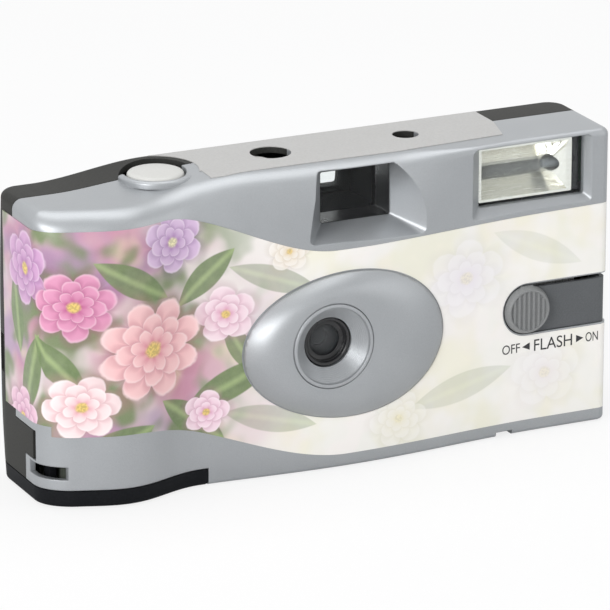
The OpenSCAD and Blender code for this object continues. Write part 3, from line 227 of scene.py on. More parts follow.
def corners(x, z, w, h, off):
    return [(x - off, z - off), (x + w + off, z - off), (x + w + off, z + h + off), (x - off, z + h + off)]


def rounded(points, radii, steps=5):
    """Round the corners of an outline by one radius or by one for each corner."""
    out = []
    n = len(points)
    for k in range(n):
        r = radii[k] if isinstance(radii, list) else radii
        p, a, b = (Vector(points[i % n]) for i in (k, k - 1, k + 1))
        u, v = (a - p).normalized(), (b - p).normalized()
        cut = r/math.tan(u.angle(v)/2) if u.angle(v) < 3.1 else r
        for s in range(steps + 1):
            t = s/steps
            out.append(tuple((p + u*cut)*(1 - t)**2 + p*2*t*(1 - t) + (p + v*cut)*t*t))
    return out


def copy_of(obj):
    return new_object(obj.name, obj.data.copy())


def discard(*objs):
    for obj in objs:
        bpy.data.objects.remove(obj, do_unlink=True)


def settle(obj):
    """Keep what an object's modifier makes of it as its plain mesh."""
    mesh = bpy.data.meshes.new_from_object(obj.evaluated_get(bpy.context.evaluated_depsgraph_get()))
    obj.modifiers.clear()
    old = obj.data
    obj.data = mesh
    bpy.data.meshes.remove(old)
    return obj


def combine(obj, others, operation):
    """Join, cut or intersect closed meshes. The others are used up."""
    for other in others:
        mod = obj.modifiers.new("combine", "BOOLEAN")
        mod.operation, mod.solver, mod.object = operation, "MANIFOLD", other
        settle(obj)
        discard(other)
    return obj


def cut(obj, *others):
    return combine(obj, others, "DIFFERENCE")


def add(obj, *others):
    return combine(obj, others, "UNION")


def keep_inside(obj, other):
    return combine(obj, [other], "INTERSECT")


ON_FORM, SAME_SIDE = 3e-5, 0.85


def shade(obj, references=(), sharp=35):
    """Smooth shading with sharp edges, and a reference form's normals wherever a face lies on it."""
    mesh = obj.data
    for poly in mesh.polygons:
        poly.use_smooth = True
    mesh.set_sharp_from_angle(angle=math.radians(sharp))
    if not references:
        return obj
    forms = []
    for ref in references:
        ref_mesh = ref.data
        normals = [v.normal.copy() for v in ref_mesh.vertices]
        points = [v.co.copy() for v in ref_mesh.vertices]
        ref_mesh.calc_loop_triangles()
        tris = [tuple(t.vertices) for t in ref_mesh.loop_triangles]
        forms.append((BVHTree.FromPolygons(points, tris), points, tris, normals))
    wanted = [Vector(n.vector) for n in mesh.corner_normals]
    for poly in mesh.polygons:
        for i in poly.loop_indices:
            p = mesh.vertices[mesh.loops[i].vertex_index].co
            for tree, points, tris, normals in forms:
                hit, face_normal, index, distance = tree.find_nearest(p)
                if hit is None or distance > ON_FORM or face_normal.dot(poly.normal) < SAME_SIDE:
                    continue
                a, b, c = tris[index]
                w = weights(hit, points[a], points[b], points[c])
                wanted[i] = (normals[a]*w[0] + normals[b]*w[1] + normals[c]*w[2]).normalized()
                break
    mesh.normals_split_custom_set(wanted)
    return obj


def weights(p, a, b, c):
    u, v, w = b - a, c - a, p - a
    uu, uv, vv, wu, wv = u.dot(u), u.dot(v), v.dot(v), w.dot(u), w.dot(v)
    d = uu*vv - uv*uv
    if abs(d) < 1e-24:
        return 1, 0, 0
    s, t = (vv*wu - uv*wv)/d, (uu*wv - uv*wu)/d
    return 1 - s - t, s, t


# The body's form as a fine loft

def stations(left_r, right_r, off, corner=10, middle=150):
    rows = []
    for k in range(corner + 1):
        a = math.pi/2*k/corner
        rows.append((-HALF_W + left_r - (left_r + off)*math.cos(a), left_r - (left_r + off)*math.sin(a),
                -HALF_W + left_r*(1 - math.cos(a)), math.sin(a), -math.cos(a)))
    for k in range(1, middle):
        x = -HALF_W + left_r + (BODY_W - left_r - right_r)*k/middle
        rows.append((x, -off, x, 1, 0))
    for k in range(corner + 1):
        a = math.pi/2*(1 - k/corner)
        rows.append((HALF_W - right_r + (right_r + off)*math.cos(a), right_r - (right_r + off)*math.sin(a),
                HALF_W - right_r*(1 - math.cos(a)), math.sin(a), math.cos(a)))
    return np.array(rows)


OUTER = ([("low", a) for a in np.linspace(0, 90, 6)] + [("wall", s) for s in np.linspace(0, 1, 13)[1:]]
        + [("brow", s) for s in np.linspace(0, 1, 11)[1:]] + [("top", a) for a in np.linspace(0, 90, 10)[1:]])
INNER = ([("flat", 0)] + [("wall", s) for s in np.linspace(0, 1, 9)[1:]]
        + [("brow", s) for s in np.linspace(0, 1, 5)[1:]] + [("top", a) for a in (30, 60, 90)])


def level(kind, share, high, r, off):
    """Height of a level and how far it is drawn in."""
    a = math.radians(share)
    zero = np.zeros_like(high)
    if kind == "low":
        return zero + EDGE_R - (EDGE_R + off)*math.cos(a), zero + (EDGE_R + off)*(1 - math.sin(a))
    if kind == "wall":
        return zero + EDGE_R + (BROW_Z - EDGE_R)*share, zero
    if kind == "brow":
        return BROW_Z + (high - r - BROW_Z)*share, zero
    if kind == "top":
        return high - r + (r + off)*math.sin(a), (r + off)*(1 - math.cos(a))
    return zero - off, zero


def body_form(off, levels):
    front = stations(CORNER_LEFT, CORNER_RIGHT, off)
    rear = stations(CORNER_REAR, CORNER_REAR, off)
    n = len(front)
    m = 2*n
    rings = []
    for kind, share in levels:
        x0, y0 = front[:, 2], front_y(front[:, 2])
        high = top_z(x0, y0 + BROW_R)
        r = TOP_R + (BROW_R - TOP_R)*brow(x0)
        z, inset = level(kind, share, high, r, off)
        x = front[:, 0] - front[:, 4]*inset
        y = y0 + front[:, 1] + front[:, 3]*(inset + lean(x0, z, high))
        rings.append(np.stack([x, y, z], 1))
        high = top_z(rear[:, 2], REAR_Y)
        z, inset = level(kind, share, high, np.full(n, TOP_R), off)
        x = rear[:, 0] - rear[:, 4]*inset
        y = REAR_Y - rear[:, 1] - rear[:, 3]*inset + rear[:, 3]*crown(z)
        rings.append(np.stack([x, y, z], 1)[::-1])
    points = np.concatenate(rings)
    faces = []
    for j in range(len(levels) - 1):
        for i in range(m):
            a, b = j*m + i, j*m + (i + 1) % m
            faces.append((a, b, b + m, a + m))
    last = (len(levels) - 1)*m
    for i in range(n - 1):
        faces.append((i, m - 1 - i, m - 2 - i, i + 1))
        faces.append((last + i, last + i + 1, last + m - 2 - i, last + m - 1 - i))
    return build("form", points.tolist(), faces)


def shell(outside, inside):
    """Closed wall between two forms: the inner one is turned inside out and joined on."""
    obj = copy_of(outside)
    bm = bmesh.new()
    bm.from_mesh(inside.data)
    bmesh.ops.reverse_faces(bm, faces=bm.faces)
    bm.from_mesh(obj.data)
    bm.to_mesh(obj.data)
    bm.free()
    return obj


def pod_form():
    """Domed pod round the lens, from behind the front's surface to the bezel."""
    sides, steps = 128, 20
    angles = np.arange(sides)*2*np.pi/sides
    rings = []
    x, z = pod_edge(angles, 0, 0)
    rings.append(np.stack([x, front_y(x) + WALL*0.7, z], 1))
    for t in np.linspace(0, 1, steps + 1):
        x, z = pod_edge(angles, t, 0)
        rise = 1 - (1 - t)**2
        y = (front_y(x) - POD_STEP)*(1 - rise) + (BEZEL_Y + 0.25)*rise
        rings.append(np.stack([x, y, z], 1))
    faces = [tuple(range(sides))]
    for j in range(steps + 1):
        for k in range(sides):
            a, b = j*sides + k, j*sides + (k + 1) % sides
            faces.append((a, b, b + sides, a + sides))
    top = (steps + 1)*sides
    faces.append(tuple(range(top + sides - 1, top - 1, -1)))
    return clean(build("pod", np.concatenate(rings).tolist(), faces))


# Materials: shader maths written as expressions

def maths(operation, turned=False):
    """A method that does one sum on a socket and what it is given."""
    def method(self, *others):
        values = (*others, self) if turned else (self, *others)
        return self.paint.node("Math", dict(enumerate(values)), operation=operation)
    return method


class Value:
    """A shader socket on which arithmetic can be written."""

    def __init__(self, paint, socket):
        self.paint, self.socket = paint, socket

    __add__, __sub__, __mul__ = maths("ADD"), maths("SUBTRACT"), maths("MULTIPLY")
    __truediv__, __pow__ = maths("DIVIDE"), maths("POWER")
    __rsub__, __rmul__ = maths("SUBTRACT", True), __mul__
    root, size, sine = maths("SQRT"), maths("ABSOLUTE"), maths("SINE")
    most, angle_from = maths("MAXIMUM"), maths("ARCTAN2")

    def step(self, low, high):
        """Smooth step from 0 at low to 1 at high."""
        return self.paint.node("MapRange", {0: self, 1: low, 2: high, 3: 0.0, 4: 1.0},
                interpolation_type="SMOOTHSTEP")


class Paint:
    """One material, or the surroundings, being made. Lengths are in millimetres."""

    def __init__(self, name, kind="materials"):
        self.owner = getattr(bpy.data, kind).new(name)
        self.owner.use_nodes = True
        self.tree = self.owner.node_tree
        self.tree.nodes.clear()

    def node(self, kind, sockets=None, out=0, **settings):
        node = self.tree.nodes.new("ShaderNode" + kind)
        for key, value in settings.items():
            setattr(node, key, value)
        for key, value in (sockets or {}).items():
            if isinstance(value, Value):
                self.tree.links.new(value.socket, node.inputs[key])
            elif isinstance(value, tuple) and len(value) == 3 and node.inputs[key].type == "RGBA":
                node.inputs[key].default_value = (*value, 1.0)
            else:
                node.inputs[key].default_value = value
        return Value(self, node.outputs[out]) if node.outputs else node

    def place(self):
        return self.node("TexCoord", out="Object")

    def axes(self):
        split = self.node("SeparateXYZ", {0: self.place()})
        return [Value(self, s)*PER_M for s in split.socket.node.outputs]

    def stretch(self, x, y, z):
        return self.node("Mapping", {"Vector": self.place(), "Scale": (x, y, z)})

    def noise(self, per_mm, detail=2.0, rough=0.5, at=None):
        return self.node("TexNoise", {"Vector": at or self.place(), "Scale": PER_M*per_mm, "Detail": detail,
                "Roughness": rough})

    def mix(self, share, a, b):
        return self.node("Mix", {0: share, 6: a, 7: b}, 2, data_type="RGBA")

    def soft_edge(self, radius):
        return self.node("Bevel", {"Radius": MM*radius}, samples=4)

    def bump(self, height, strength, deep, normal=None):
        sockets = {"Height": height, "Strength": strength, "Distance": MM*deep}
        return self.node("Bump", {**sockets, **({"Normal": normal} if normal else {})})

    def surface(self, colour, rough, normal=None, **constants):
        sockets = {"Base Color": colour, "Roughness": rough}
        if normal:
            sockets["Normal"] = normal
        for key, value in constants.items():
            sockets[key.replace("_", " ").title().replace("Ior", "IOR")] = value
        return self.node("BsdfPrincipled", sockets)

    def finish(self, shader, kind="OutputMaterial"):
        self.node(kind, {"Surface": shader})
        return self.owner


def moulded(name, dark, light, rough, grain=4.0, deep=0.02, edge=0.2, clouds=0.06, gloss=0.5, **constants):
    """Moulded or coated surface: fine grain, faint clouds, varying gloss and softened edges."""
    p = Paint(name)
    fine, wide = p.noise(grain, 2.0), p.noise(clouds, 3.0, 0.6)
    colour = p.mix((0.6*fine + 0.4*wide).step(0.25, 0.75), dark, light)
    normal = p.bump(fine, 0.35, deep, p.soft_edge(edge) if edge else None)
    return p.finish(p.surface(colour, wide*0.16 + (rough - 0.08), normal, specular_ior_level=gloss, **constants))


def streaked(name, dark, light, rough, along, metallic=1.0, deep=0.01):
    """Drawn or rolled metal with fine streaks along one axis."""
    p = Paint(name)
    scale = [1.0, 1.0, 1.0]
    scale["xyz".index(along)] = 0.04
    streak = p.noise(5.0, 3.0, 0.6, p.stretch(*scale))
    colour = p.mix(streak.step(0.3, 0.7), dark, light)
    return p.finish(p.surface(colour, streak*0.2 + (rough - 0.1), p.bump(streak, 0.3, deep), metallic=metallic))


def clear(name, tint, mirror, gloss_rough=0.03, haze=0.02):
    """Clear moulding: lets light through and mirrors a little, more towards its edges, with a faint haze."""
    p = Paint(name)
    mist = p.noise(0.25, 3.0)
    gloss = p.surface((0.9, 0.92, 0.93), mist*0.04 + gloss_rough, specular_ior_level=0.9)
    through = p.node("BsdfTransparent", {"Color": tint})
    facing = p.node("LayerWeight", {"Blend": 0.5}, out="Facing")
    share = facing**5.0*0.6 + mist*haze + mirror
    return p.finish(p.node("MixShader", {0: share, 1: through, 2: gloss}))


def flower_print():
    """Coated sheet printed with soft pastel blossoms that fade out to the right."""
    p = Paint("flower_print")
    x, y, z = p.axes()
    u = x - (y + 8.0).most(0.0)
    at = p.node("CombineXYZ", {0: u, 1: z, 2: 0.0})

    def paint(scale, detail, seed):
        return p.node("TexNoise", {"Vector": at, "W": seed, "Scale": scale, "Detail": detail, "Roughness": 0.55},
                noise_dimensions="4D")

    fade = u.step(-4.0, -34.0)
    pink, leafy, blue, warm = (paint(s, 2.0, w) for s, w in ((0.055, 1.0), (0.085, 5.3), (0.06, 9.1), (0.09, 13.7)))
    colour = p.mix(pink.step(0.36, 0.62), (0.72, 0.64, 0.62), (0.54, 0.24, 0.34))
    colour = p.mix(blue.step(0.46, 0.62)*0.75, colour, (0.36, 0.24, 0.40))
    colour = p.mix(warm.step(0.52, 0.70)*0.6, colour, (0.84, 0.76, 0.46))
    colour = p.mix(leafy.step(0.44, 0.57)*0.95, colour, (0.15, 0.21, 0.08))
    pale = p.mix(warm.step(0.42, 0.64)*0.5, (0.93, 0.91, 0.87), (0.86, 0.83, 0.62))
    colour = p.mix((1.0 - fade)*0.94, colour, pale)

    def leaf(colour, cx, cz, length, width, turn, dark, light, strength):
        c, s = math.cos(math.radians(turn)), math.sin(math.radians(turn))
        along = (u - cx)*(c/length) + (z - cz)*(s/length)
        across = ((z - cz)*(c/width) - (u - cx)*(s/width)).size()
        bow = (1.0 - along*along).most(0.0)
        inside = (bow - across).step(0.0, 0.12)
        rib = across.step(0.0, 0.35)*0.55 + paint(0.6, 2.0, cx)*0.45
        return p.mix(inside*strength, colour, p.mix(rib, light, dark))

    def blossom(colour, cx, cz, size, petals, turn, rim, deep, heart, strength, rows=3):
        dx, dz = u - cx, (z - cz)*1.12
        r = (dx*dx + dz*dz).root()*(1.0/size) + (paint(0.35, 2.0, cz) - 0.5)*0.16
        angle = dz.angle_from(dx)
        for row in range(rows):
            scale = 1.0 - 0.27*row
            wave = (angle*(petals/2.0) + (math.radians(turn) + 1.25*row)).sine().size()
            reach = r/(wave**0.55*(0.36*scale) + 0.64*scale)
            inside = reach.step(1.0, 0.93)
            tone = (reach*0.75 + wave*0.3).step(0.25, 1.0)
            petal = p.mix(tone, deep, rim)
            petal = p.mix(reach.step(0.86, 1.0)*0.35, petal, (1.0, 0.97, 0.97))
            shadow = reach.step(1.32, 0.95)*(0.28*strength)
            colour = p.mix(shadow, colour, tuple(0.6*c for c in deep))
            colour = p.mix(inside*strength, colour, petal)
        grain = paint(2.2, 1.0, cx + 3.0)
        return p.mix(r.step(0.2, 0.1)*strength, colour, p.mix(grain.step(0.4, 0.6), heart,
                tuple(0.72*c for c in heart)))

    greens = ((0.075, 0.13, 0.035), (0.34, 0.45, 0.18))
    for cx, cz, length, width, turn, strength in (
            (-22, 20, 11, 3.2, 24, 0.95), (-30, 14, 9, 3.0, -38, 0.95), (-64, 25, 10, 3.6, 70, 0.95),
            (-43, 44, 9, 3.0, 150, 0.9),
            (-13, 40, 10, 2.6, 160, 0.5), (-14, 12, 10, 2.8, -14, 0.4), (-47, 12, 9, 3.2, 20, 0.95),
            (-57, 28, 8, 2.8, -50, 0.95),
            (-27, 42, 8, 2.8, 40, 0.9), (-20, 27, 7, 2.4, -60, 0.85), (-70, 36, 8, 3.0, 100, 0.9),
            (27, 12, 12, 3.0, 12, 0.22), (44, 38, 11, 2.8, -24, 0.14)):
        colour = leaf(colour, cx, cz, length, width, turn, *greens, strength)
    yellow, cream = (0.80, 0.58, 0.16), (0.87, 0.80, 0.50)
    for cx, cz, size, petals, turn, rim, deep, heart, strength in (
            (-66, 46, 8.5, 6, 10, (0.60, 0.34, 0.56), (0.33, 0.10, 0.34), yellow, 1.0),
            (-54, 40, 8.0, 7, 40, (0.72, 0.30, 0.47), (0.46, 0.06, 0.22), yellow, 1.0),
            (-68, 16, 7.0, 6, 30, (0.80, 0.52, 0.64), (0.50, 0.15, 0.34), yellow, 1.0),
            (-34, 50, 7.0, 6, 0, (0.66, 0.48, 0.68), (0.36, 0.17, 0.42), cream, 1.0),
            (-23, 34, 6.5, 5, 25, (0.90, 0.72, 0.78), (0.68, 0.30, 0.45), yellow, 0.95),
            (-53, 20, 7.5, 6, 65, (0.92, 0.76, 0.76), (0.76, 0.34, 0.40), yellow, 1.0),
            (-39, 30, 11.5, 8, 15, (0.90, 0.56, 0.56), (0.66, 0.20, 0.27), yellow, 1.0),
            (-10, 45, 4.5, 5, 50, (0.93, 0.88, 0.82), (0.80, 0.66, 0.46), yellow, 0.75),
            (-27, 15, 5.0, 5, 80, (0.90, 0.70, 0.78), (0.68, 0.30, 0.46), yellow, 0.95),
            (28, 34, 9.0, 6, 20, (0.94, 0.92, 0.94), (0.86, 0.80, 0.88), cream, 0.38),
            (13, 8, 6.5, 6, 70, (0.94, 0.92, 0.88), (0.88, 0.83, 0.66), cream, 0.45),
            (46, 12, 8.0, 5, 35, (0.94, 0.93, 0.92), (0.88, 0.82, 0.84), cream, 0.32)):
        colour = blossom(colour, cx, cz, size, petals, turn, rim, deep, heart, strength)
    fibre = p.noise(3.0, 2.0)
    colour = p.mix((1.0 - fibre)*0.06, colour, (0.72, 0.70, 0.72))
    return p.finish(p.surface(colour, fibre*0.12 + 0.30, p.bump(fibre, 0.15, 0.01), coat_weight=0.15,
            coat_roughness=0.2))


SILVER = moulded("silver_paint", (0.335, 0.35, 0.365), (0.40, 0.415, 0.43), 0.40, grain=7.0, deep=0.006, edge=0.35,
        metallic=0.5, gloss=0.45)
GREY = moulded("grey_rear", (0.028, 0.028, 0.026), (0.044, 0.044, 0.041), 0.55, grain=3.0, deep=0.02, edge=0.25,
        clouds=0.12, gloss=0.12)
BLACK = moulded("black_satin", (0.006, 0.0065, 0.008), (0.011, 0.012, 0.014), 0.5, grain=3.0, deep=0.015, gloss=0.08)
DEEP_BLACK = moulded("black_matt", (0.004, 0.004, 0.0045), (0.008, 0.008, 0.009), 0.65, deep=0.03, gloss=0.05)
LENS_BLACK = moulded("black_gloss", (0.014, 0.014, 0.015), (0.022, 0.022, 0.024), 0.28, deep=0.006, gloss=0.5)
WHITE = moulded("ivory_gloss", (0.60, 0.60, 0.575), (0.66, 0.655, 0.63), 0.38, deep=0.006, edge=0.25, gloss=0.3)
SLATE = moulded("slate_satin", (0.095, 0.100, 0.106), (0.122, 0.129, 0.135), 0.46, deep=0.012, gloss=0.25)
KNOB_GREY = moulded("knob_satin", (0.20, 0.205, 0.207), (0.25, 0.255, 0.257), 0.42, deep=0.012, edge=0.15, gloss=0.35)
PLAIN_SHEET = moulded("plain_sheet", (0.44, 0.435, 0.425), (0.50, 0.495, 0.485), 0.42, grain=2.0, deep=0.008,
        edge=0.0, clouds=0.1)
FLOWERS = flower_print()
INK = moulded("dark_ink", (0.012, 0.012, 0.014), (0.03, 0.03, 0.032), 0.4, grain=8.0, deep=0.002, edge=0.0)
WINDOW = clear("clear_window", (0.97, 0.98, 0.98), 0.008, haze=0.006)
GLASS = clear("lens_clear", (0.93, 0.95, 0.97), 0.05, 0.02)
TUBE = clear("tube_clear", (0.97, 0.97, 0.96), 0.06, 0.05, 0.06)
STEEL = streaked("spring_wire", (0.42, 0.42, 0.42), (0.62, 0.62, 0.61), 0.3, "z")
MIRROR = streaked("bright_trough", (0.90, 0.88, 0.80), (0.98, 0.97, 0.93), 0.24, "x", 0.8, deep=0.04)
LACQUER = streaked("cassette_lacquer", (0.16, 0.18, 0.15), (0.26, 0.28, 0.24), 0.4, "z", 0.6)
CELL = streaked("cell_lacquer", (0.16, 0.18, 0.20), (0.24, 0.26, 0.29), 0.35, "z", 0.5)
COPPER = streaked("taped_winding", (0.42, 0.22, 0.08), (0.66, 0.40, 0.16), 0.4, "x", 0.5)
BOARD = moulded("board_mask", (0.02, 0.12, 0.045), (0.035, 0.17, 0.07), 0.35, grain=1.0, deep=0.02, edge=0.0)
SLEEVE = moulded("capacitor_sleeve", (0.018, 0.02, 0.07), (0.03, 0.034, 0.10), 0.3, grain=1.0, deep=0.01, edge=0.0)
LAMP = moulded("smoked_lamp", (0.030, 0.010, 0.007), (0.055, 0.018, 0.012), 0.2, grain=1.0, deep=0.005, edge=0.0)
FILM = moulded("film_base", (0.10, 0.045, 0.022), (0.15, 0.07, 0.035), 0.25, grain=1.0, deep=0.004, edge=0.0)


# Covers

def left_step(gap):
    return prism([(TONGUE_Y + gap, TAB_Z + gap), (TONGUE_Y + gap, TONGUE_Z - gap), (SEAM_Y + 1, TONGUE_Z - gap),
            (SEAM_Y + 1, -5), (TAB_Y + gap, -5), (TAB_Y + gap, TAB_Z + gap)], -HALF_W - 5, -HALF_W + 7, "x")


def door_space(gap):
    return box((-FAR, -FAR, -FAR), (DOOR_X + gap, FAR, DOOR_H + gap))


def finder_edge(off):
    return corners(FINDER_X, FINDER_Z, FINDER_W, FINDER_H, off)


def finder_scoop(off):
    """Dished opening in front of the viewfinder: its right wall bows out towards a wide low corner."""
    left, right, low, high = FINDER_X, FINDER_X + FINDER_W, FINDER_Z, FINDER_Z + FINDER_H
    a, b = Vector((left - MOUTH_LEFT - off, low - 3.9 - off)), Vector((right + MOUTH_RIGHT + off, low - 6.1 - off))
    c, d = Vector((right - 1.6 + off, high + MOUTH_TOP - 1 + off)), Vector((left - MOUTH_LEFT + 2.4 - off,
            high + MOUTH_TOP + off))
    bulge = Vector((right + MOUTH_RIGHT + 2.0 + off, low + 0.75*FINDER_H))
    share = np.linspace(0.18, 0.96, 28).tolist()
    side = [b*(1 - t)**2 + bulge*(2*t*(1 - t)) + c*t*t for t in share]
    front = rounded([tuple(q) for q in (a, b, *side, c, d)], [2.0, 2.6] + [0.0]*len(share) + [0.5, 1.2])
    e, f, g, h = (Vector(q) for q in finder_edge(off))
    rear = rounded([tuple(q) for q in (e, f, *(f + (g - f)*t for t in share), g, h)], [0.5, 0.5] + [0.0]*len(share)
            + [0.4, 0.5])
    return funnel(front, rear, SCOOP_Y, FINDER_FRONT + (0.0 if off else 0.01))


def flash_edge(off):
    return corners(FLASH_X, FLASH_Z, FLASH_W, FLASH_H, off)


def flash_recess(off):
    """Sloping recess in front of the flash window."""
    mouth = corners(FLASH_X - 2.8, FLASH_Z - 2.3, FLASH_W + 4.8, FLASH_H + 2.8, off)
    return funnel(rounded(mouth, 1.4), rounded(flash_edge(off or 0.15), 0.5), RECESS_Y, WINDOW_Y + 0.1)


def panel_notch(off, y1):
    """Space for the switch panel, with a round left end."""
    r = PANEL_H/2 + off
    bow = [(KNOB_X + r*math.cos(a), KNOB_Z + r*math.sin(a)) for a in np.linspace(math.pi/2, 3*math.pi/2, 49)]
    return prism([(FAR, KNOB_Z + r)] + bow + [(FAR, KNOB_Z - r)], -PAST, y1)


def cassette_room():
    room = rod(CASSETTE_R + 0.25, (GRIP_X, CASSETTE_Y, 0), CASSETTE_Z - 0.25, SHELF_Z)
    return add(room, rod(WHEEL_R + 0.25, (GRIP_X, CASSETTE_Y, 0), WHEEL_Z - 0.25, WHEEL_TOP + 0.25))


def top_hole(r, x, y):
    return rod(r, (x, y, 0), BROW_Z, FAR, sides=64)


def small_holes():
    return top_hole(COUNTER_R, COUNTER_X, DIAL_Y), top_hole(LAMP_R, LAMP_X, LAMP_Y)


def place_on(name, obj, body, material, slot, *nodes):
    """Give a finished piece its material and its place on a body."""
    obj.name = name
    obj.data.name = name
    obj.data.materials.clear()
    obj.data.materials.append(material)
    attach(obj, body)
    if nodes:
        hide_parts(*nodes)


OUTSIDE, INSIDE, POD = body_form(0, OUTER), body_form(-WALL, INNER), pod_form()


def front_cover():
    space = box((-FAR, -FAR, -1), (FAR, SEAM_Y - SEAM_GAP/2, FAR))
    cut(space, left_step(0), door_space(SEAM_GAP))
    obj = keep_inside(shell(OUTSIDE, INSIDE), space)
    walls = add(flash_recess(WALL), prism(flash_edge(WALL), WINDOW_Y, WINDOW_Y + WINDOW_T), finder_scoop(WALL))
    keep_inside(walls, body_form(-WALL/2, INNER))
    ring = BUTTON_R + BUTTON_GAP
    low, top = BODY_H - 1.9, BODY_H - 0.5
    collar = lathe("collar", [(ring, low), (ring + COLLAR_W, low)]
            + [(ring + COLLAR_W/2 + COLLAR_W/2*math.cos(a), top - 0.5 + 0.5*math.sin(a))
            for a in np.linspace(0, math.pi, 9)], (BUTTON_X, BUTTON_Y, 0), "z")
    keep_inside(collar, box((-FAR, -FAR, 0), (FAR, BUTTON_Y + 0.9, FAR)))
    ledge = FACE_Y + WALL + 0.05
    add(obj, copy_of(POD), walls, collar, box((KNOB_X, FACE_Y + WALL/2, PANEL_Z - 1.6),
            (KNOB_X + 12, ledge + 1, PANEL_Z - 0.2)), box((KNOB_X, ledge, PANEL_Z - 0.6),
            (KNOB_X + 12, ledge + 1, PANEL_Z + 1)))
    cut(obj, cassette_room(), rod(BEZEL_R + 0.1, (LENS_X, 0, LENS_Z), -PAST, BARREL_FRONT + 0.2, "y"),
            rod(BARREL_R + 0.25, (LENS_X, 0, LENS_Z), -PAST, PAST, "y"), top_hole(ring, BUTTON_X, BUTTON_Y),
            finder_scoop(0), flash_recess(0), prism(rounded(flash_edge(0.15), 0.5), -PAST, 0),
            panel_notch(0, FACE_Y + 6), *small_holes(), box((-HALF_W - 1, -PAST, TAB_Z - 3),
            (-HALF_W + 4.6, TONGUE_Y + 2.8, TAB_Z - 0.4)), box((35.3, -PAST, -1), (39, FACE_Y + 4, 1)))
    shade(obj, (OUTSIDE, POD))
    place_on("front_shell", obj, "housing", SILVER, "silver_plastic", "front_cover")


def rear_cover():
    space = box((-FAR, SEAM_Y + SEAM_GAP/2, -1), (FAR, FAR, FAR))
    add(space, left_step(SEAM_GAP))
    cut(space, door_space(SEAM_GAP))
    obj = keep_inside(shell(OUTSIDE, INSIDE), space)
    add(obj, box((LENS_X - 20, FILM_REAR + 0.15, LENS_Z - 15), (LENS_X + 20, REAR_Y + REAR_CROWN - WALL + 0.1,
            LENS_Z + 15)))
    scoop_r = 3.4
    scoop = lathe("scoop", [(0, -11), (scoop_r - 0.6, -11), (scoop_r, -10.4), (scoop_r, 10.4), (scoop_r - 0.6, 11),
            (0, 11)], (GRIP_X, CASSETTE_Y + WHEEL_R - 0.9 + scoop_r, (WHEEL_Z + WHEEL_TOP)/2), "x", 48)
    eye_x, eye_z = FINDER_X + (FINDER_W - EYEPIECE_W)/2, FINDER_Z + (FINDER_H - EYEPIECE_H)/2
    cut(obj, cassette_room(), box((-HALF_W - 1, TONGUE_Y - 1, TAB_Z - 1), (-HALF_W + 3, TONGUE_Y + 1, TONGUE_Z + 1)),
            top_hole(BUTTON_R + BUTTON_GAP + COLLAR_W - 0.4, BUTTON_X, BUTTON_Y), *small_holes(), scoop,
            prism(rounded(corners(eye_x, eye_z, EYEPIECE_W, EYEPIECE_H, 0.15), 0.6), 0, PAST),
            box((-HALF_W - 1, REAR_Y - 3, LENS_Z - 4.6), (-HALF_W + WALL + 1, REAR_Y - 0.4, LENS_Z + 3.1)))
    shade(obj, (OUTSIDE,))
    place_on("rear_shell", obj, "housing", GREY, "grey_plastic", "rear_cover")


def film_door():
    bead_front, bead_rear, pin_r, pin_out, notch = FACE_Y + 4.15, FACE_Y + 19.35, 0.45, 1.4, 1.65
    top = DOOR_H - SEAM_GAP/2
    space = box((-FAR, -FAR, -1), (HINGE_X, FAR, top))
    add(space, box((-FAR, -FAR, HINGE_R), (DOOR_X, FAR, top)), rod(HINGE_R, (HINGE_X, 0, HINGE_R), -FAR, FAR, "y",
            48))
    obj = keep_inside(shell(OUTSIDE, INSIDE), space)
    add(obj, rod(HINGE_R, (HINGE_X, 0, HINGE_R), bead_front, bead_rear, "y", 48))
    for y in (CASSETTE_Y - 6, CASSETTE_Y + 6):
        add(obj, box((GRIP_X - 8, y - 0.5, WALL - 0.01), (GRIP_X + 8, y + 0.5, CASSETTE_Z - 0.2)))
    add(obj, box((-HALF_W + 2.8, TONGUE_Y - 0.2, WALL - 0.01), (-HALF_W + 4.2, TONGUE_Y + 2.6, TAB_Z - 1)))
    cut(obj, rod(CASSETTE_R + 0.25, (GRIP_X, CASSETTE_Y, 0), CASSETTE_Z - 0.1, DOOR_H + 1))
    for y in (bead_front - notch, bead_rear):
        cut(obj, box((HINGE_X - 1.4, y, -1), (DOOR_X + 1, y + notch, PAST)))
    add(obj, rod(pin_r, (HINGE_X, 0, HINGE_R), bead_front - pin_out, bead_rear + pin_out, "y", 32))
    shade(obj, (OUTSIDE,))
    place_on("bottom_door", obj, "door", BLACK, "black_plastic", "film_door")


# Labels

def label(name, outline, holes, material, slot, node):
    """A thin sheet that follows the covers within an outline."""
    form = body_form(LABEL_T, OUTER)
    obj = cut(keep_inside(shell(form, OUTSIDE), outline), *holes)
    shade(obj, (form, OUTSIDE))
    discard(form)
    place_on(name, obj, "housing", material, slot, node)


def front_label():
    xs = np.linspace(-HALF_W - 1, HALF_W + 1, 160)
    edge = [(x, float(label_low(x))) for x in xs] + [(x, float(label_high(x))) for x in xs[::-1]]
    angles = np.linspace(0, 2*np.pi, 129)[:-1]
    pod_hole = np.stack(pod_edge(angles, 0, 0.3), 1).tolist()
    holes = (prism(pod_hole, -PAST, 0), box((HALF_W - LABEL_END, -PAST, -10), (FAR, FAR, FAR)), panel_notch(0.3, 0),
            box((-FAR, -PAST, -10), (-HALF_W + 2, PAST, float(label_low(-HALF_W)) + 2)))
    label("flower_sheet", prism(edge, -PAST, SEAM_Y + 4.5), holes, FLOWERS, "label_print", "front_label")


